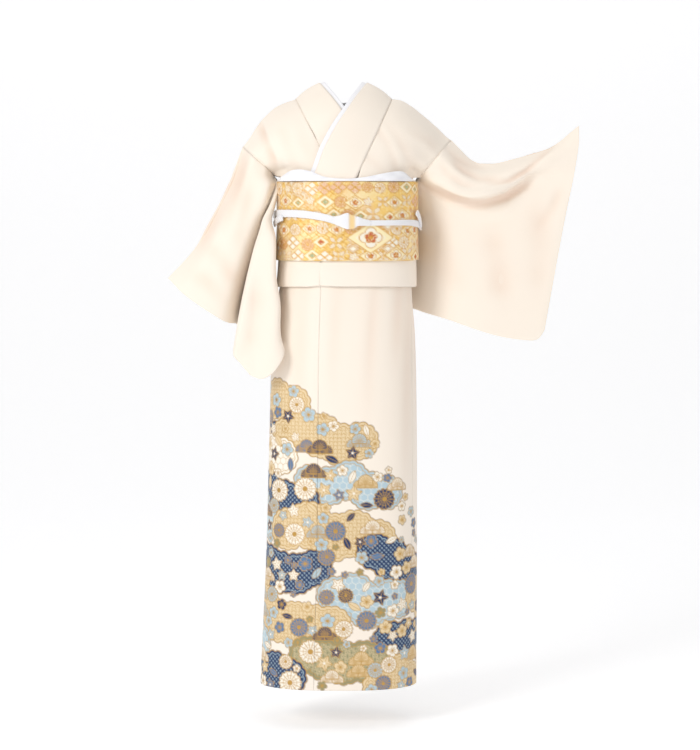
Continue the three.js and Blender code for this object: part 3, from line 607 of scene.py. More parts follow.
def linked_rings(s, z, pitch):
    nearest = np.full(len(s), 99.0)
    for a, b in cells(s, z, pitch, pitch):
        for da in (-pitch, 0, pitch):
            for db in (-pitch, 0, pitch):
                nearest = np.minimum(nearest, np.abs(np.hypot(a - da, b - db) - pitch / 2 ** 0.5))
    return line(nearest, 1.0)


def hexagons(s, z, pitch):
    """Six-sided cells, found as the border between the two nearest middles."""
    first, second = np.full(len(s), 99.0), np.full(len(s), 99.0)
    tall = pitch * 3 ** 0.5
    for a, b in cells(s, z, pitch, tall):
        for da in (-pitch, 0, pitch):
            for db in (-tall, 0, tall):
                far = np.hypot(a - da, b - db)
                second = np.minimum(second, np.maximum(first, far))
                first = np.minimum(first, far)
    return line((second - first) / 2, 1.0)


def dots(s, z, pitch):
    nearest = np.full(len(s), 99.0)
    for a, b in cells(s, z, pitch, pitch):
        nearest = np.minimum(nearest, np.hypot(a, b))
    return inside(nearest - pitch * 0.17)


def blossoms(s, z, pitch):
    """Small five-lobed flowers in staggered rows."""
    nearest = np.full(len(s), 99.0)
    for a, b in cells(s, z, pitch, pitch):
        rim = np.hypot(a, b) - pitch * (0.2 + 0.12 * np.abs(np.cos(2.5 * np.arctan2(a, b))))
        nearest = np.minimum(nearest, np.abs(rim))
    return line(nearest, 1.3)


GROUNDS = {
    # name: ground colour, line colour, gold of the lines, repeat, its pitch
    "beige": (BEIGE, GOLD, 0.9, blossoms, 17),
    "navy": (NAVY, PALE_BLUE, 0.0, dots, 10),
    "pale": (PALE_BLUE, CREAM, 0.0, hexagons, 15),
    "cream": (CREAM, GOLD, 0.6, hexagons, 15),
    "olive": (OLIVE, BEIGE, 0.6, linked_rings, 17),
}


print("grounds:", ", ".join(GROUNDS))

# %% Scalloped clouds
SCALLOP, SCALLOP_DEPTH = 19, 3.2


def cloud(canvas, puffs, ground):
    """Paints one cloud. Puffs are its rounds (s, z, size)."""
    fill, thread, gold, repeat, pitch = GROUNDS[ground]
    edge = np.full(len(canvas.s), 1e3)
    for s, z, size in puffs:
        where, r, angle = canvas.near(s, z, size + 12)
        scallops = round(2 * math.pi * size / SCALLOP)
        rim = r - size - SCALLOP_DEPTH * np.abs(np.sin(angle * scallops / 2))
        edge[where] = np.minimum(edge[where], rim)
    where = np.nonzero(edge < 6)[0]
    rim = edge[where]
    canvas.paint(where, inside(rim), fill)
    pattern = repeat(canvas.s[where], canvas.z[where], pitch)
    canvas.paint(where, pattern * inside(rim + 9) * 0.8, thread, gold)
    canvas.paint(where, line(rim + 7, 1.4), thread if ground == "navy" else GOLD, gold)
    canvas.paint(where, line(rim, 2.4), GOLD, 1.0)


print("a round of 46 mm has", round(2 * math.pi * 46 / SCALLOP), "scallops")

# %% [markdown]
# ## The design of the hem
# On a tomesode the design runs round the hem. It stands highest over the left overlap, falls
# to the wearer's left side and stays low on the back. Cloud patches carry chrysanthemums, plum
# blossoms, bellflowers, pine and leaves in navy, pale blue, beige and gold. The clouds are
# given one by one and the flowers are thrown with dice that always fall the same way. One layout
# serves all panels, so the design runs on across the seams, as on a robe that is pinned
# together before dyeing.

# %% Clouds, flowers and their colours
CLOUDS = [
    # from s, z to s, z (mm), rounds, size, ground; later ones lie on top
    (-250, -690, -110, -668, 4, 44, "beige"), (-262, -742, -170, -752, 3, 40, "navy"),
    (-130, -742, 34, -764, 5, 46, "beige"), (-280, -812, -140, -800, 4, 46, "cream"),
    (-70, -842, 96, -872, 5, 42, "pale"), (-225, -868, -90, -884, 4, 46, "navy"),
    (-300, -945, -180, -940, 4, 46, "pale"), (-120, -945, 72, -978, 5, 52, "beige"),
    (70, -1004, 186, -1046, 4, 46, "navy"), (-215, -1026, -60, -1050, 5, 46, "navy"),
    (-320, -1065, -210, -1090, 4, 44, "beige"), (-10, -1092, 130, -1124, 5, 48, "pale"),
    (190, -1112, 310, -1144, 4, 46, "beige"), (-180, -1140, -20, -1160, 5, 48, "beige"),
    (-310, -1182, -200, -1200, 4, 46, "pale"), (110, -1190, 240, -1218, 4, 46, "navy"),
    (-70, -1232, 90, -1246, 5, 46, "olive"), (-410, -1150, -340, -1180, 3, 44, "navy"),
    (330, -1195, 430, -1180, 3, 46, "pale"), (-250, -1268, -110, -1286, 5, 46, "navy"),
    (240, -1272, 350, -1284, 4, 44, "beige"), (90, -1288, 200, -1296, 4, 44, "beige"),
    (-430, -1262, -290, -1285, 4, 46, "beige"), (390, -1290, 455, -1288, 3, 42, "navy"),
]
FLOWERS = {
    # kind: drawing, smallest and largest size, share of the flowers
    "chrysanthemum": (chrysanthemum, 16, 27, 0.34), "plum": (plum_blossom, 12, 17, 0.26),
    "bell": (bellflower, 13, 19, 0.18), "pine": (pine, 14, 18, 0.1), "leaf": (leaf, 26, 36, 0.12),
}
FILLS = {
    "beige": (NAVY, BLUE, PALE_BLUE, CREAM, PALE_BLUE), "navy": (CREAM, PALE_BLUE, BEIGE, CREAM, BLUE),
    "pale": (NAVY, CREAM, BEIGE, BLUE, CREAM), "cream": (BLUE, PALE_BLUE, BEIGE, NAVY, OLIVE),
    "olive": (CREAM, NAVY, BEIGE, PALE_BLUE, CREAM), "bare": (BEIGE, PALE_BLUE, CREAM, BLUE, OLIVE),
}
TOP_OF_DESIGN = (
    [-440, -300, -260, -120, 60, 170, 260, 440],  # s
    [-1120, -900, -655, -665, -740, -930, -1080, -1130])  # height of the highest loose blossoms
TRIES_A_CLOUD, LOOSE_TRIES = 80, 900
LEAF_ROOM = 0.55  # a leaf is slim, so others come nearer to it
print(len(CLOUDS), "clouds")


# %% Laying out the hem
def lay_out_hem():
    """One list of clouds and one of flowers, the same for every panel."""
    dice = np.random.default_rng(21)
    clouds, flowers = [], []
    for s0, z0, s1, z1, rounds, size, ground in CLOUDS:
        puffs = []
        for share in np.linspace(0, 1, rounds):
            swell = 0.72 + 0.28 * math.sin(math.pi * (0.15 + 0.7 * share))
            lift = dice.uniform(-0.3, 0.3) * size
            puffs.append((s0 + (s1 - s0) * share, z0 + (z1 - z0) * share + lift, size * swell))
        clouds.append((puffs, ground))

    def free(s, z, size, room):
        return all(math.hypot(s - f[1], z - f[2]) > (size + f[3]) * room for f in flowers)

    kinds, odds = list(FLOWERS), [f[3] for f in FLOWERS.values()]
    for puffs, ground in clouds:
        for _ in range(TRIES_A_CLOUD):
            s, z, size = puffs[dice.integers(len(puffs))]
            kind = kinds[dice.choice(len(kinds), p=odds)]
            drawing, small, large, _share = FLOWERS[kind]
            wide = dice.uniform(small, large)
            reach = size * 0.85 * math.sqrt(dice.uniform())
            way = dice.uniform(0, 2 * math.pi)
            s, z = s + reach * math.sin(way), z + reach * math.cos(way)
            room = wide * (LEAF_ROOM if kind == "leaf" else 1)
            if free(s, z, room, 0.84):
                fill = FILLS[ground][dice.integers(5)]
                flowers.append((drawing, s, z, room, wide, fill, dice.uniform(0, 6)))
    for _ in range(LOOSE_TRIES):
        s, z = dice.uniform(-440, 440), dice.uniform(-1300, -650)
        wide = dice.uniform(7, 13)
        if z < np.interp(s, *TOP_OF_DESIGN) and free(s, z, wide, 0.95):
            fill = FILLS["bare"][dice.integers(5)]
            flowers.append((plum_blossom, s, z, wide, wide, fill, dice.uniform(0, 6)))
    return clouds, flowers


HEM_CLOUDS, HEM_FLOWERS = lay_out_hem()
print(len(HEM_CLOUDS), "clouds and", len(HEM_FLOWERS), "flowers")


# %% Painting the hem
def paint_hem(s, z):
    """The canvas of one panel with every cloud and flower that reaches it."""
    heights = np.linspace(-1320, -320, 60)
    half = np.interp(z, heights, [walk_round(h)[1][-1] for h in heights])
    canvas = Canvas(s, z, half)
    for puffs, ground in HEM_CLOUDS:
        cloud(canvas, puffs, ground)
    for drawing, fs, fz, _room, wide, fill, turn in HEM_FLOWERS:
        drawing(canvas, fs, fz, wide, fill, turn=turn)
    return canvas


sample = paint_hem(np.array([0.0, 100.0]), np.array([-1200.0, -700.0]))
print("cover at two points, low and high:", sample.cover.round(2))


# %% [markdown]
# ## The skirt
# A kimono has straight panels a loom width wide: two for the body and a half-width one along
# each front edge, whose sewn lines run straight down the skirt. A subdivision modifier would
# divide a panel evenly, but only its outer sheet below the design's top has to be fine enough
# to carry the drawing. So the edges are divided by hand, and the points are put back on the
# exact sections afterwards. Soft hollows and swells run down the cloth, deepest under the sash.

# %% Swells of the skirt
SKIRT_SWELLS = [
    # where round the robe, height of the deepest place, half width, half length, depth (mm)
    (-150, -480, 14, 120, -1.6), (-96, -560, 20, 190, -1.1), (-20, -500, 16, 150, -0.9),
    (58, -520, 13, 140, -1.3), (118, -470, 16, 110, -1.6), (150, -600, 18, 220, -1.3),
    (196, -520, 16, 160, -1.6), (240, -700, 24, 260, -1.2), (-205, -620, 20, 230, -1.5),
    (-250, -520, 16, 150, -1.5), (-310, -640, 26, 260, -1.3), (300, -560, 20, 190, -1.5),
    (352, -760, 26, 300, -1.2), (-372, -560, 18, 180, -1.3), (410, -540, 18, 160, -1.1),
    (-60, -960, 34, 260, 0.9), (90, -1010, 30, 230, 0.9), (-180, -1080, 30, 210, 0.9),
]


def swells(s, z):
    moved = np.zeros(len(s))
    for at, height, wide, tall, depth in SKIRT_SWELLS:
        lean = at + (z - height) * 0.03
        moved += depth * np.exp(-((s - lean) / wide) ** 2 - ((z - height) / tall) ** 2)
    return moved


print("deepest place at the hip:", swells(np.linspace(-420, 420, 85), -560.0).min().round(2), "mm")


# %% An even net of points
def body_layers(shape):
    """Gives each vertex its place on the robe as three numbers."""
    points = np.array([v.co for v in shape.verts]) / MM
    s, level = body_place(points[:, 0], points[:, 1], points[:, 2])
    layers = [shape.verts.layers.float.new(name) for name in ("round", "height", "level")]
    for vert, *values in zip(shape.verts, s, points[:, 2], level):
        for layer, value in zip(layers, values):
            vert[layer] = value
    return layers


def divide(shape, faces, axis, along, cuts_of):
    """Divides those edges of the faces that run along an axis (0 is x, 2 is z), or the others."""
    plans = {}
    for edge in {e for f in faces for e in f.edges}:
        run = (edge.verts[0].co - edge.verts[1].co) / MM
        if (abs(run[axis]) > 0.7 * run.length) == along:
            plans.setdefault(cuts_of(edge, abs(run[axis])), []).append(edge)
    for cuts, edges in plans.items():
        if cuts > 0:
            bmesh.ops.subdivide_edges(shape, edges=edges, cuts=cuts, use_grid_fill=True)


def outer_faces(shape):
    outer = shape.verts.layers.float["outer"]
    return [f for f in shape.faces if all(v[outer] > 0.99 for v in f.verts)]


sample = merged_copy("skirt_front_left")
sort_sheets(sample, SILK_WALL * MM)
print("the left front has", len(outer_faces(sample)), "outer faces before it is divided")
sample.free()

# %% Skirt panels
ROW_STEP, PLAIN_STEP, COLUMN_CUTS = 2.2, 9, 8
DESIGN_TOP = -560
# painted shade: the skirt's warm shade colour grows with the depth of a dip
SKIRT_SHADE = 4  # a hollow this deep takes the full tint


def skirt_panel(name, fine):
    """One dressed panel. A fine one carries the design."""
    shape = merged_copy(name)
    sort_sheets(shape, SILK_WALL * MM)
    side = body_layers(shape)[0]
    if "back" in name:  # the centre back is half way round both ways
        for vert in shape.verts:
            vert[side] = abs(vert[side]) * (1 if name.endswith("left") else -1)

    def row_cuts(edge, tall):
        middle = (edge.verts[0].co.z + edge.verts[1].co.z) / 2 / MM
        return round(tall / (ROW_STEP if fine and middle < DESIGN_TOP else PLAIN_STEP)) - 1

    divide(shape, outer_faces(shape), 2, True, row_cuts)
    divide(shape, outer_faces(shape), 2, False, lambda edge, tall: COLUMN_CUTS if fine else 1)
    obj = new_piece(name + "_silk", shape, hem_silk)
    mesh = obj.data
    points = points_of(mesh)
    s, z, level = (values_of(mesh, n) for n in ("round", "height", "level"))
    outer_share = values_of(mesh, "outer")
    moved = swells(s, z)
    for height in np.unique(np.round(z, 3)):
        row = np.nonzero(np.abs(z - height) < 0.0006)[0]
        x, y = body_point(height, s[row], level[row] + moved[row])
        points[row, 0], points[row, 1] = x, y
    move_points(mesh, points)
    canvas = paint_hem(s, z) if fine else Canvas(s, z)
    canvas.cover[outer_share < 0.5] = 0
    keep_colours(mesh, "design", canvas.colour)
    keep_values(mesh, "dyed", canvas.cover)
    keep_values(mesh, "gold", canvas.gold * canvas.cover)
    # painted shade: the deeper the skirt dips, the more of the warm shade colour it takes
    keep_values(mesh, "fold", np.clip(-moved / SKIRT_SHADE, 0, 1))
    ride(obj, "ivory_silk", name)
    return obj


PANELS = {
    "skirt_front_left": True, "overlap_left": True, "skirt_back_left": True,
    "skirt_back_right": True, "skirt_front_right": False, "overlap_right": False,
}
skirt = {name: skirt_panel(name, fine) for name, fine in PANELS.items()}

# %% [markdown]
# ## Body and sleeves
# Above the waist the same panels run up over the shoulders. Each sleeve is a loom width, folded
# at the top and sewn to a bag. Their solids have the large folds already. The subdivision
# rounds these, and the edges of the wall are creased to stay crisp. Then the smaller creases
# follow. A cloth simulation would choose their places by itself, so they are listed: each
# is a soft trough or ridge along a line, uneven in depth, that fades at its ends.

# %% Rounded walls of cloth
SEWN = 0.42  # how far the edges grow, so that sewn pieces meet


def soft_cloth(name, levels, material, wall=SILK_WALL, grow=0.2):
    """Rounds a wall so that its surface still passes through the solid's own points."""
    shape = merged_copy(name)
    rim = sort_sheets(shape, wall * MM)
    crease = shape.edges.layers.float.new("crease_edge")
    for edge in shape.edges:
        if sum(f in rim for f in edge.link_faces) == 1:
            edge[crease] = 1.0
    for vert in shape.verts:
        out = sum((f.normal for f in vert.link_faces if f in rim), Vector())
        if out.length > 0.01:
            vert.co += out.normalized() * grow * MM
    obj = new_piece(name + "_silk", shape, material)
    divide_by = obj.modifiers.new("rounded", "SUBSURF")
    divide_by.levels = divide_by.render_levels = levels
    wanted = points_of(obj.data)
    for _ in range(3):
        graph = bpy.context.evaluated_depsgraph_get()
        rounded = points_of(obj.evaluated_get(graph).data)[:len(wanted)]
        move_points(obj.data, points_of(obj.data) + 0.8 * (wanted - rounded))
    return baked(obj)


print("a rounded wall keeps its solid's points and grows", SEWN, "mm where it is sewn")

# %% Laying creases
MIDDLE_LINES = [
    # of the bodice, and of both shoulders out to the sleeves
    ((5, 0, -420), (5, 0, -110)), ((-230, 0, -165), (5, 0, -120)), ((5, 0, -120), (240, 0, -160)),
]
# painted shade: a trough's share of the silk's shade colour grows with its depth
DEEP_FOLD = 7  # a trough this deep takes the full tint


def along_line(a, b, path):
    """How far points lie from a bent line, how far along it their nearest place is, and its
    length."""
    nearest, walked, total = np.full(len(a), 1e9), np.zeros(len(a)), 0.0
    for (a0, b0), (a1, b1) in zip(path[:-1], path[1:]):
        step = math.hypot(a1 - a0, b1 - b0)
        share = np.clip(((a - a0) * (a1 - a0) + (b - b0) * (b1 - b0)) / step ** 2, 0, 1)
        far = np.hypot(a - a0 - share * (a1 - a0), b - b0 - share * (b1 - b0))
        walked = np.where(far < nearest, total + share * step, walked)
        nearest = np.minimum(nearest, far)
        total += step
    return nearest, walked, total


def away_from_middle(points, normals):
    """1 where a normal points away from the nearest middle line, otherwise -1."""
    best, away = np.full(len(points), 1e9), np.zeros(points.shape)
    for low, high in np.array(MIDDLE_LINES, dtype=float):
        share = np.clip((points - low) @ (high - low) / ((high - low) @ (high - low)), 0, 1)
        out = points - low - share[:, None] * (high - low)
        far = np.linalg.norm(out, axis=1)
        away = np.where((far < best)[:, None], out, away)
        best = np.minimum(best, far)
    return np.where((away * normals).sum(axis=1) > 0, 1.0, -1.0)


def lay_creases(obj, front, back=(), in_one_sheet=False):
    """Moves both sheets of the wall along the outer normal. Rows are points (x, z), a half
    width and a depth, which is negative for a trough."""
    mesh = obj.data
    points, normals = points_of(mesh), normals_of(mesh)
    outward = np.where(values_of(mesh, "outer") > 0.5, 1.0, -1.0)
    if in_one_sheet:  # a folded edge joins the inner and the outer sheet
        outward = away_from_middle(points, normals)
    facing = normals[:, 1] * outward
    moved = np.zeros(len(points))
    for rows, faces in ((front, facing < -0.05), (back, facing > 0.05)):
        for path, wide, depth in rows:
            far, walked, total = along_line(points[:, 0], points[:, 2], path)
            share = walked / total
            fade = np.clip(np.sin(math.pi * (0.06 + 0.88 * share)) * 1.5, 0, 1)
            uneven = 0.8 + 0.2 * np.sin(share * 9 + path[0][0] * 0.1)
            moved += np.where(faces, depth * fade * uneven * np.exp(-(far / wide) ** 2), 0)
    move_points(mesh, points + normals * (moved * outward)[:, None])
    # painted shade: the troughs of the creases take a share of the silk's shade colour
    keep_values(mesh, "fold", np.clip(-moved / DEEP_FOLD, 0, 1))


print("a line of one step is", along_line(np.zeros(1), np.zeros(1), [(0, 0), (30, 40)])[2], "mm long")

# %% Creases of the bodice
BODICE_LEFT_FRONT = [
    ([(60, -60), (96, -110), (112, -150), (116, -182)], 11, -1.8),
    ([(86, -62), (120, -105), (140, -140), (150, -168)], 13, -1.5),
    ([(74, -60), (108, -108), (126, -146), (134, -178)], 10, 1.2),
    ([(150, -85), (190, -104), (212, -128)], 13, -1.4),
    ([(30, -120), (60, -150), (96, -178)], 11, -1.1),
]
BODICE_RIGHT_FRONT = [
    ([(-186, -58), (-172, -100), (-156, -140), (-146, -164)], 9, -5.5),
    ([(-176, -56), (-160, -98), (-142, -138), (-132, -168)], 10, 1.6),
    ([(-140, -60), (-124, -110), (-110, -150), (-102, -182)], 13, -1.4),
    ([(-96, -58), (-84, -110), (-66, -160), (-54, -182)], 13, -1),
]
BACK_CREASES = [
    ([(-120, -60), (-104, -110), (-96, -178)], 14, -3.2), ([(120, -60), (106, -112), (96, -176)], 14, -3),
    ([(-60, -70), (-56, -120), (-58, -180)], 16, -1.9), ([(62, -72), (56, -126), (54, -180)], 16, -1.9),
    ([(-176, -70), (-150, -110), (-128, -150)], 13, -3.2), ([(176, -72), (152, -112), (130, -150)], 13, -3),
]
TUCK_FRONT = [([(-138, -370), (-146, -416)], 5, -1.6), ([(-126, -370), (-134, -420)], 7, 0.9)]
print(len(BODICE_LEFT_FRONT + BODICE_RIGHT_FRONT + BACK_CREASES), "creases on the bodice")

# %% Creases of the sleeves
SLEEVE_LEFT_FRONT = [
    ([(466, -110), (440, -132), (404, -168), (365, -191), (322, -200)], 7, -5.5),
    ([(470, -124), (446, -150), (410, -186), (370, -207), (330, -216)], 12, 3.5),
    ([(200, -203), (237, -228), (281, -241), (315, -240), (360, -226), (400, -198), (438, -158)], 11, -7.0),
    ([(205, -186), (240, -207), (281, -218), (320, -217), (352, -208)], 11, 3.5),
    ([(200, -228), (246, -254), (300, -266), (352, -256), (400, -226)], 12, 3.0),
    ([(236, -142), (264, -166), (298, -185), (340, -188)], 9, -4.2),
    ([(224, -114), (254, -140), (284, -156), (316, -158)], 9, -3.2),
    ([(212, -150), (232, -178), (262, -200), (296, -206)], 9, -2.6),
    ([(206, -250), (214, -330), (240, -400), (262, -450)], 26, -1.5),
    ([(330, -300), (344, -380), (352, -460)], 26, -3.0),
    ([(430, -230), (436, -330), (430, -430)], 26, -2.4),
    ([(484, -200), (462, -250), (434, -290)], 12, -2.4),
]
SLEEVE_LEFT_BACK = [
    ([(450, -110), (400, -150), (340, -180), (280, -196)], 16, -4.6),
    ([(486, -130), (450, -200), (400, -262), (350, -300)], 18, -4.1),
    ([(230, -130), (250, -200), (256, -290)], 19, -3.2),
    ([(340, -260), (352, -360), (356, -450)], 22, -2.7),
]
SLEEVE_RIGHT_FRONT = [
    ([(-214, -112), (-226, -170), (-240, -230), (-262, -292)], 14, -4.1),
    ([(-232, -150), (-262, -220), (-296, -290), (-330, -352)], 16, -3.5),
    ([(-204, -190), (-216, -262), (-232, -330)], 14, -3.2),
    ([(-300, -330), (-262, -368), (-236, -420)], 16, -3),
    ([(-340, -390), (-300, -410), (-262, -452)], 16, -2.7),
    ([(-190, -420), (-194, -480), (-204, -560)], 14, -2.4),
]
SLEEVE_RIGHT_BACK = [
    ([(-210, -120), (-232, -190), (-262, -262)], 16, -4.1),
    ([(-240, -180), (-282, -260), (-330, -330)], 18, -3.5),
    ([(-200, -300), (-206, -400), (-212, -500)], 19, -3),
]
print(len(SLEEVE_LEFT_FRONT + SLEEVE_RIGHT_FRONT), "creases on the fronts of the sleeves")

# %% Body and sleeves
CORD_HEIGHT = -279


def draw_to_sash(obj, far, near, inward, backward, top, bottom):
    """A sleeve hangs against the sash. Between two values of x its share grows from none to
    all, and between two heights too. It gives way to the cord."""
    points = points_of(obj.data)
    share = smooth(far, near, points[:, 0]) * smooth(top, bottom, points[:, 2])
    share *= 1 - 0.65 * np.exp(-((points[:, 2] - CORD_HEIGHT) / 24) ** 2)
    points[:, 0] += inward * share
    points[:, 1] += backward * share
    move_points(obj.data, points)


cloth = {}
for name, levels, front, back in (
        ("bodice_left", 2, BODICE_LEFT_FRONT, BACK_CREASES),
        ("bodice_right", 2, BODICE_RIGHT_FRONT + TUCK_FRONT, BACK_CREASES),
        ("sleeve_left", 3, SLEEVE_LEFT_FRONT, SLEEVE_LEFT_BACK),
        ("sleeve_right", 2, SLEEVE_RIGHT_FRONT, SLEEVE_RIGHT_BACK),
        ("overlap_left_tuck", 3, TUCK_FRONT, [])):
    cloth[name] = soft_cloth(name, levels, ivory_silk, grow=SEWN)
    lay_creases(cloth[name], front, back, in_one_sheet=not name.startswith("sleeve"))
    ride(cloth[name], "ivory_silk", name)
draw_to_sash(cloth["sleeve_right"], -198, -160, 12, -12, -174, -200)
draw_to_sash(cloth["sleeve_left"], 246, 188, -12, 12, -164, -190)

# %% [markdown]
# ## Collars
# The collar is one long folded band that is sewn along the neck and both front edges. A
# narrower white one is sewn inside it and shows as a line along its edge, so that the robe
# looks worn in two layers. A band could be swept along a curve, but its twist at the neck is
# hard to steer. Both solids have it already, so they keep their form and are only rounded.

# %% Collar and white under-collar
for name, material, slot, wall in (
        ("collar", ivory_silk, "ivory_silk", COLLAR_WALL), ("under_collar", white_silk, "white_silk", 1.5)):
    cloth[name] = soft_cloth(name, 2, material, wall, SEWN)
    keep_values(cloth[name].data, "fold", np.zeros(len(cloth[name].data.vertices)))
    ride(cloth[name], slot, name)

# %% [markdown]
# ## The sash and its brocade
# The sash is one long band of stiff gold brocade, wound twice and tied to a square drum on the
# back. The pattern is woven, and a float of gilded thread stands a little above the ground. It
# shows diamonds, flowers and lattices in gold, peach, white and rust, as traditional brocades
# do. Repeated tiles would look printed, so rows of motifs are thrown with dice over a lattice
# that comes and goes.

# %% Brocade motifs
BROCADE = linear(244, 204, 118)
BROCADE_DEEP = linear(218, 162, 66)
BROCADE_PALE = linear(252, 236, 190)
LEAF_GREEN = linear(178, 182, 140)
LILAC = linear(206, 196, 198)


def diamond(canvas, s, z, wide, tall, fill, inner=None):
    where, r, angle = canvas.near(s, z, max(wide, tall) * 1.05)
    edge = np.abs(r * np.sin(angle)) / wide + np.abs(r * np.cos(angle)) / tall - 1
    edge = edge * min(wide, tall) * 0.8
    canvas.paint(where, inside(edge), fill)
    canvas.paint(where, line(edge, 2.0), canvas.thread, 1.0)
    if inner is not None:
        canvas.paint(where, line(edge + min(wide, tall) * 0.3, 1.6), inner, 0.5)


def medallion(canvas, s, z, size):
    """A large diamond with a four-lobed flower in it."""
    diamond(canvas, s, z, size * 1.35, size, BROCADE_PALE, CREAM)
    where, r, angle = canvas.near(s, z, size)
    rim = r - size * (0.46 + 0.2 * np.abs(np.cos(2 * angle)))
    canvas.paint(where, inside(rim), CREAM)
    canvas.paint(where, line(rim, 2.0), canvas.thread, 1.0)
    plum_blossom(canvas, s, z, size * 0.36, RUST)


def four_leaves(canvas, s, z, size, fill):
    for turn in (0.78, 2.36):
        for reach in (-size, size):
            leaf(canvas, s + reach * math.sin(turn), z + reach * math.cos(turn), size * 1.7, fill, turn)


print("motifs: diamond, medallion, four leaves")

# %% The woven pattern
ROWS = (-76, -48, -18, 12, 42, 72)
BIG_MEDALLION = (45, -36, 34, 236)  # s, z, size, repeat


def throw_motifs(canvas, low, high):
    """Rows of small motifs, each a little off its row. The dice always fall the same way."""
    dice = np.random.default_rng(8)
    for k, row in enumerate(ROWS):
        at = low - 20 + (k % 2) * 17
        while at < high + 20:
            kind, size = dice.integers(7), dice.uniform(0.75, 1.0)
            fill = (CREAM, CREAM, PEACH)[dice.integers(3)]
            here = row + dice.uniform(-4, 4)
            if kind <= 1:
                chrysanthemum(canvas, at, here, 15 * size, fill, dice.uniform(0, 3), 10)
            elif kind == 2:
                medallion(canvas, at, here, 18 * size)
            elif kind == 3:
                diamond(canvas, at, here, 20 * size, 16 * size, BROCADE_PALE, CREAM)
                diamond(canvas, at, here, 8 * size, 7 * size, (LEAF_GREEN, RUST)[dice.integers(2)])
            elif kind == 4:
                bellflower(canvas, at, here, 13 * size, fill, dice.uniform(0, 3))
            elif kind == 5:
                for ds, dz in ((-9, 0), (9, 0), (0, 8), (0, -8)):
                    diamond(canvas, at + ds, here + dz, 8.5, 7.5, fill)
            else:
                four_leaves(canvas, at, here, 11 * size, fill)
            at += dice.uniform(24, 34)


def brocade(s, z):
    """s runs round the sash and z up, with z = 0 at its middle."""
    canvas = Canvas(s, z)
    canvas.thread = BROCADE_DEEP
    canvas.colour[:] = BROCADE
    canvas.cover[:] = 1
    canvas.gold[:] = 0.75
    everywhere = np.arange(len(s))
    # warm peach and grey-lilac fields come and go along the band
    field = np.sin(s / 47 + 0.7) + 0.6 * np.sin(s / 23 + z / 31)
    canvas.paint(everywhere, np.clip(field - 0.7, 0, 1) * 0.8, PEACH, 0.2)
    canvas.paint(everywhere, np.clip(-field - 0.8, 0, 1) * 0.8, LILAC, 0.1)
    pale = np.clip(np.sin(s / 38 - z / 33 + 2.6) - 0.2, 0, 1) * 0.8
    canvas.paint(everywhere, pale, BROCADE_PALE, 0.5)
    # a lattice of diamonds takes turns with hexagons
    lattice = sum(line(((s + way * z * 1.15) / 17 % 1 - 0.5) * 12.8, 1.8) for way in (-1, 1))
    lattice = lattice * np.clip(np.sin(s / 61 + z / 55 + 2.2) * 2 + 0.4, 0, 1)
    canvas.paint(everywhere, lattice, BROCADE_DEEP, 1.0)
    sixes = hexagons(s, z, 15) * np.clip(np.sin(s / 52 - z / 40 - 1.0) * 2, 0, 1)
    canvas.paint(everywhere, sixes, CREAM, 0.2)
    throw_motifs(canvas, s.min(), s.max())
    start, height, size, repeat = BIG_MEDALLION
    for at in np.arange(start - repeat * 2, s.max(), repeat):
        medallion(canvas, at, height, size)
        for ds, dz in ((-34, 24), (34, 24), (-34, -24), (34, -24)):
            diamond(canvas, at + ds, height + dz, 13, 10, CREAM, BROCADE_DEEP)
    return canvas


def weave(obj, s, z):
    """Keeps the brocade's colours and gilding on a finely divided piece."""
    canvas = brocade(s, z)
    keep_colours(obj.data, "design", canvas.colour)
    keep_values(obj.data, "gold", canvas.gold)


print(len(ROWS), "rows of motifs")

# %% Gold brocade
RIBS, FLECKS = 210, 260  # scales of the weft ribs and of the painted glints between the threads


def make_brocade():
    material, tree, shader = new_material("gold_brocade", 0.46, sheen=0.1)
    place = tree.nodes.new("ShaderNodeTexCoord")
    ribs = tree.nodes.new("ShaderNodeTexWave")
    ribs.bands_direction = "Z"
    ribs.inputs["Scale"].default_value = RIBS
    ribs.inputs["Distortion"].default_value = 0.6
    fleck = noise_node(tree, FLECKS, 2.0)
    for node in (ribs, fleck):
        tree.links.new(place.outputs["Object"], node.inputs["Vector"])
    drawn, gold = attribute(tree, "design"), attribute(tree, "gold").outputs["Fac"]
    # painted highlight: where the fleck noise is high, the base colour turns pale gold as glints
    glint = math_node(tree, "MULTIPLY", math_node(tree, "SUBTRACT", fleck.outputs["Fac"], 0.5), 2.6)
    spark = tree.nodes.new("ShaderNodeClamp")
    spark.inputs["Max"].default_value = 0.6
    tree.links.new(glint, spark.inputs["Value"])
    shade = mixed(tree, spark.outputs[0], drawn.outputs["Color"], BROCADE_PALE)
    tree.links.new(shade, shader.inputs["Base Color"])
    tree.links.new(math_node(tree, "MULTIPLY", gold, 0.35), shader.inputs["Metallic"])
    rough = math_node(tree, "SUBTRACT", 0.58, math_node(tree, "MULTIPLY", gold, 0.2))
    tree.links.new(rough, shader.inputs["Roughness"])
    raised = math_node(tree, "MULTIPLY", gold, 1.6)
    bumped(tree, shader, math_node(tree, "ADD", raised, ribs.outputs["Fac"]), 0.4, 0.0005)
    return material


gold_brocade = make_brocade()
print("brocade with", len(gold_brocade.node_tree.nodes), "nodes")

# %% The wound sash
SASH_MIDDLE = -276


def wound_sash():
    shape = merged_copy("sash")
    sort_sheets(shape, SASH_WALL * MM)
    divide(shape, outer_faces(shape), 2, True, lambda edge, tall: round(tall / ROW_STEP) - 1)
    divide(shape, outer_faces(shape), 2, False, lambda edge, tall: 5)
    obj = new_piece("sash_brocade", shape, gold_brocade)
    points = points_of(obj.data)
    s, _level = body_place(points[:, 0], points[:, 1], points[:, 2])
    weave(obj, s, points[:, 2] - SASH_TILT * points[:, 1] - SASH_MIDDLE)
    # the stiff band stands off a little more at its upper left end, beside the raised sleeve
    points[:, 0] += 5 * smooth(118, 160, points[:, 0]) * smooth(-300, -190, points[:, 2])
    move_points(obj.data, points)
    ride(obj, "brocade", "sash")
    return obj


sash = {"sash": wound_sash()}

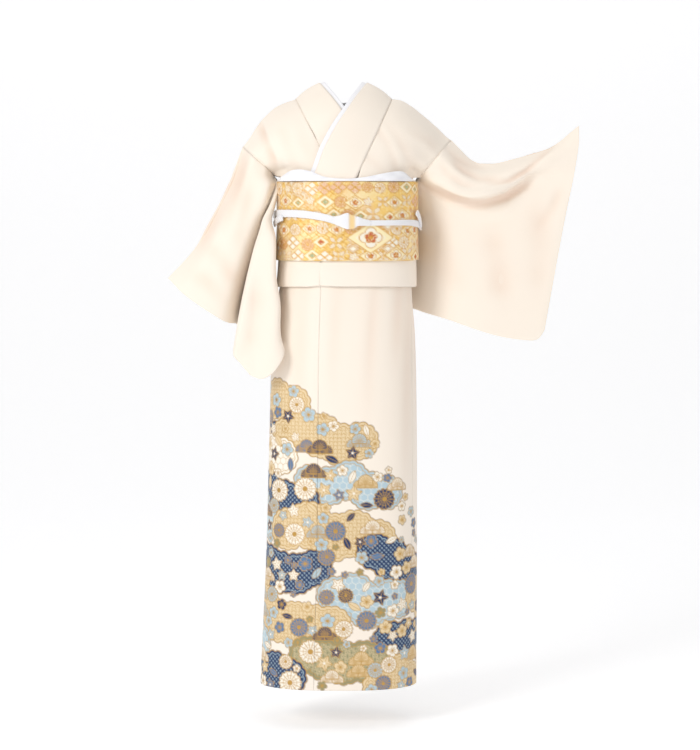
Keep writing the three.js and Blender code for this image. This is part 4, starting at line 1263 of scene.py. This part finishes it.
# %% Drum, tail and hand
FOLDED_WIDTH = 172  # the band is folded in half, so its pattern repeats after this
DRUM_PATH = [(105, -146), (120, -135), (142, -130), (162, -132), (177, -146), (185, -180), (188, -250),
             (185, -330), (177, -385), (169, -403), (156, -410), (142, -404), (134, -385), (131, -335)]
TAIL_PATH = [(126, -338), (128, -380), (135, -470)]
for name, path, cuts in (
        ("sash_drum", DRUM_PATH, 7), ("sash_tail", TAIL_PATH, 9), ("sash_hand", TAIL_PATH, 7)):
    sash[name] = soft_cloth(name, 2, gold_brocade, SASH_WALL)
    sash[name].name = name + "_brocade"
    shape = bmesh.new()
    shape.from_mesh(sash[name].data)
    seen = outer_faces if name == "sash_drum" else lambda whole: whole.faces
    divide(shape, seen(shape), 0, True, lambda edge, wide: cuts)
    divide(shape, seen(shape), 0, False, lambda edge, wide: 1)
    shape.to_mesh(sash[name].data)
    shape.free()
    points = points_of(sash[name].data)
    walked = along_line(points[:, 1], points[:, 2], path)[1]
    weave(sash[name], points[:, 0] - 8, walked % FOLDED_WIDTH - FOLDED_WIDTH / 2)
    ride(sash[name], "brocade", name)

# %% [markdown]
# ## Scarf, cord and knot
# A white silk scarf covers the upper edge of the sash in soft rolled folds. The cord that
# holds everything is a flat silk braid, tied in front, with its ends tucked in at the sides.
# Single threads would cost far too many faces. The braid's ridges lean both ways from its
# middle, so two waves that meet there are worked into the surface, and the scarf's small
# wrinkles are two waves as well.

# %% Sash scarf
scarf = soft_cloth("sash_scarf", 2, white_silk, 1.5)
points = points_of(scarf.data)
ripple = 0.5 * np.sin(points[:, 0] / 9 + points[:, 2] / 4)
ripple += 0.35 * np.sin(points[:, 0] / 5.3 - points[:, 2] / 3)
out = points * (1, 1, 0) / np.linalg.norm(points[:, :2], axis=1)[:, None]
move_points(scarf.data, points + out * (ripple * 1.3)[:, None])
# painted shade: the troughs of the ripples take a share of the white silk's grey shade colour
keep_values(scarf.data, "fold", np.clip(-ripple, 0, 1) * 0.6)
ride(scarf, "white_silk", "sash_scarf")

# %% Braided cord
BRAID_PITCH, BRAID_RELIEF = 5.5, 0.22
GOLD_BAND = 19  # x of the gilded band in the knot


def make_braid():
    material, tree, shader = new_material("white_braid", 0.5, sheen=0.2)
    # painted shade: the hollows between the braid's ridges turn grey
    hollow_shade = attribute(tree, "hollow_shade")
    tone = attribute(tree, "tone")
    white = mixed(tree, hollow_shade.outputs["Fac"], linear(246, 246, 248), linear(196, 196, 204))
    tree.links.new(mixed(tree, tone.outputs["Fac"], white, BROCADE), shader.inputs["Base Color"])
    return material


white_braid = make_braid()


def braid(name):
    obj = soft_cloth(name, 3, white_braid, 0.1)
    obj.name = name + "_braid"
    points, normals = points_of(obj.data), normals_of(obj.data)
    middle = points.mean(axis=0)
    run = points[:, 0] + np.where(points[:, 1] > 60, 0.3, 0) * points[:, 1]
    lean = np.abs(points[:, 2] - middle[2]) * 0.9
    ridge = np.sin((run + lean) * 2 * math.pi / BRAID_PITCH)
    move_points(obj.data, points + normals * (ridge * BRAID_RELIEF)[:, None])
    # painted shade: how grey each point is, most in the hollows between the ridges
    keep_values(obj.data, "hollow_shade", np.clip(-ridge, 0, 1) * 0.7)
    band = np.exp(-((points[:, 0] - GOLD_BAND) / 7) ** 4) * 0.8
    keep_values(obj.data, "tone", band * (name == "cord_knot"))
    ride(obj, "cord", name)


for name in ("sash_cord", "cord_knot", "cord_end_left", "cord_end_right"):
    braid(name)

# %% [markdown]
# ## The cut of the cloth
# A body panel is cut in one length from the front hem over the shoulder to the back
# hem. The flat sizes of the pieces are not given here.

# %% No flat sizes
print("the flat sizes are not stated")

# %% [markdown]
# ## Floor, light and camera
# The robe is shown alone on a pale ground that curves up behind it. A flat floor and a wall
# would meet in a line, so the ground is one bent sheet. The daylight is soft and comes from the
# left. The camera stands a little above waist height, four metres away, which keeps a long
# garment's lines upright.

# %% Pale ground
GROUND_HEIGHT = -1.395
ground = bmesh.new()
bmesh.ops.create_grid(ground, x_segments=1, y_segments=1, size=6)
back_edge = [e for e in ground.edges if all(v.co.y > 5 for v in e.verts)]
raised = bmesh.ops.extrude_edge_only(ground, edges=back_edge)["geom"]
raised = [v for v in raised if isinstance(v, bmesh.types.BMVert)]
bmesh.ops.translate(ground, verts=raised, vec=(0, 0, 8))
bend = [e for e in ground.edges if all(v.co.y > 5 and abs(v.co.z) < 0.01 for v in e.verts)]
bmesh.ops.bevel(ground, geom=bend, offset=2.5, offset_type="OFFSET", segments=24, profile=0.5,
                affect="EDGES", material=-1)
bmesh.ops.translate(ground, verts=ground.verts, vec=(0, 0, GROUND_HEIGHT))
studio_paint, _tree, studio_shader = new_material("studio_paper", 0.9)
studio_shader.inputs["Base Color"].default_value = (0.9, 0.9, 0.91, 1)
studio_shader.inputs["Emission Color"].default_value = (1, 1, 1, 1)
studio_shader.inputs["Emission Strength"].default_value = 0.3
studio = new_piece("studio_ground", ground, studio_paint)
studio.data.polygons.foreach_set("use_smooth", np.ones(len(studio.data.polygons), dtype=bool))
studio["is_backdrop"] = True
print("ground with", len(studio.data.polygons), "faces")


# %% Daylight
def soft_light(name, place, target, size, power, colour=(1, 1, 1)):
    data = bpy.data.lights.new(name, "AREA")
    data.shape, data.size, data.energy, data.color = "SQUARE", size, power, colour
    lamp = bpy.data.objects.new(name, data)
    lamp.location = place
    lamp.rotation_euler = (Vector(target) - Vector(place)).to_track_quat("-Z", "Y").to_euler()
    bpy.context.scene.collection.objects.link(lamp)


soft_light("window_left", (-2.6, -3.0, 1.2), (0, 0, -0.5), 1.5, 72, (1.0, 0.99, 0.975))
soft_light("fill_right", (3.2, -2.8, 0.4), (0, 0, -0.6), 2.4, 14, (0.97, 0.98, 1.0))
soft_light("from_above", (0.3, -0.4, 3.0), (0, 0, -0.6), 2.0, 17)

bpy.context.scene.view_settings.view_transform = "Standard"  # white paper is to stay white
world = bpy.data.worlds.new("daylight")
bpy.context.scene.world = world
world.use_nodes = True
sky = world.node_tree.nodes["Background"]
sky.inputs["Color"].default_value = (1.0, 1.0, 1.0, 1)
sky.inputs["Strength"].default_value = 0.56
print(len(bpy.data.lights), "lights")

# %% Camera
EYE, AIM = Vector((0.0145, -4.2, -0.445)), Vector((0.0145, 0, -0.620))
lens = bpy.data.cameras.new("camera")
camera = bpy.data.objects.new("camera", lens)
bpy.context.scene.collection.objects.link(camera)
bpy.context.scene.camera = camera
camera.location = EYE
camera.rotation_euler = (AIM - EYE).to_track_quat("-Z", "Y").to_euler()
lens.lens = 90.4
lens.clip_end = 50
print("camera with a lens of", lens.lens, "mm")

# %% [markdown]
# ## Size and triangles
# The dressed pieces must stay as large as the measured solids. The number of triangles in all
# closes the lesson.

# %% Finish
import json

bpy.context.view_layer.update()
faces = sum(len(p.vertices) - 2 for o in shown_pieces() for p in o.data.polygons)
print("triangles in all:", faces)
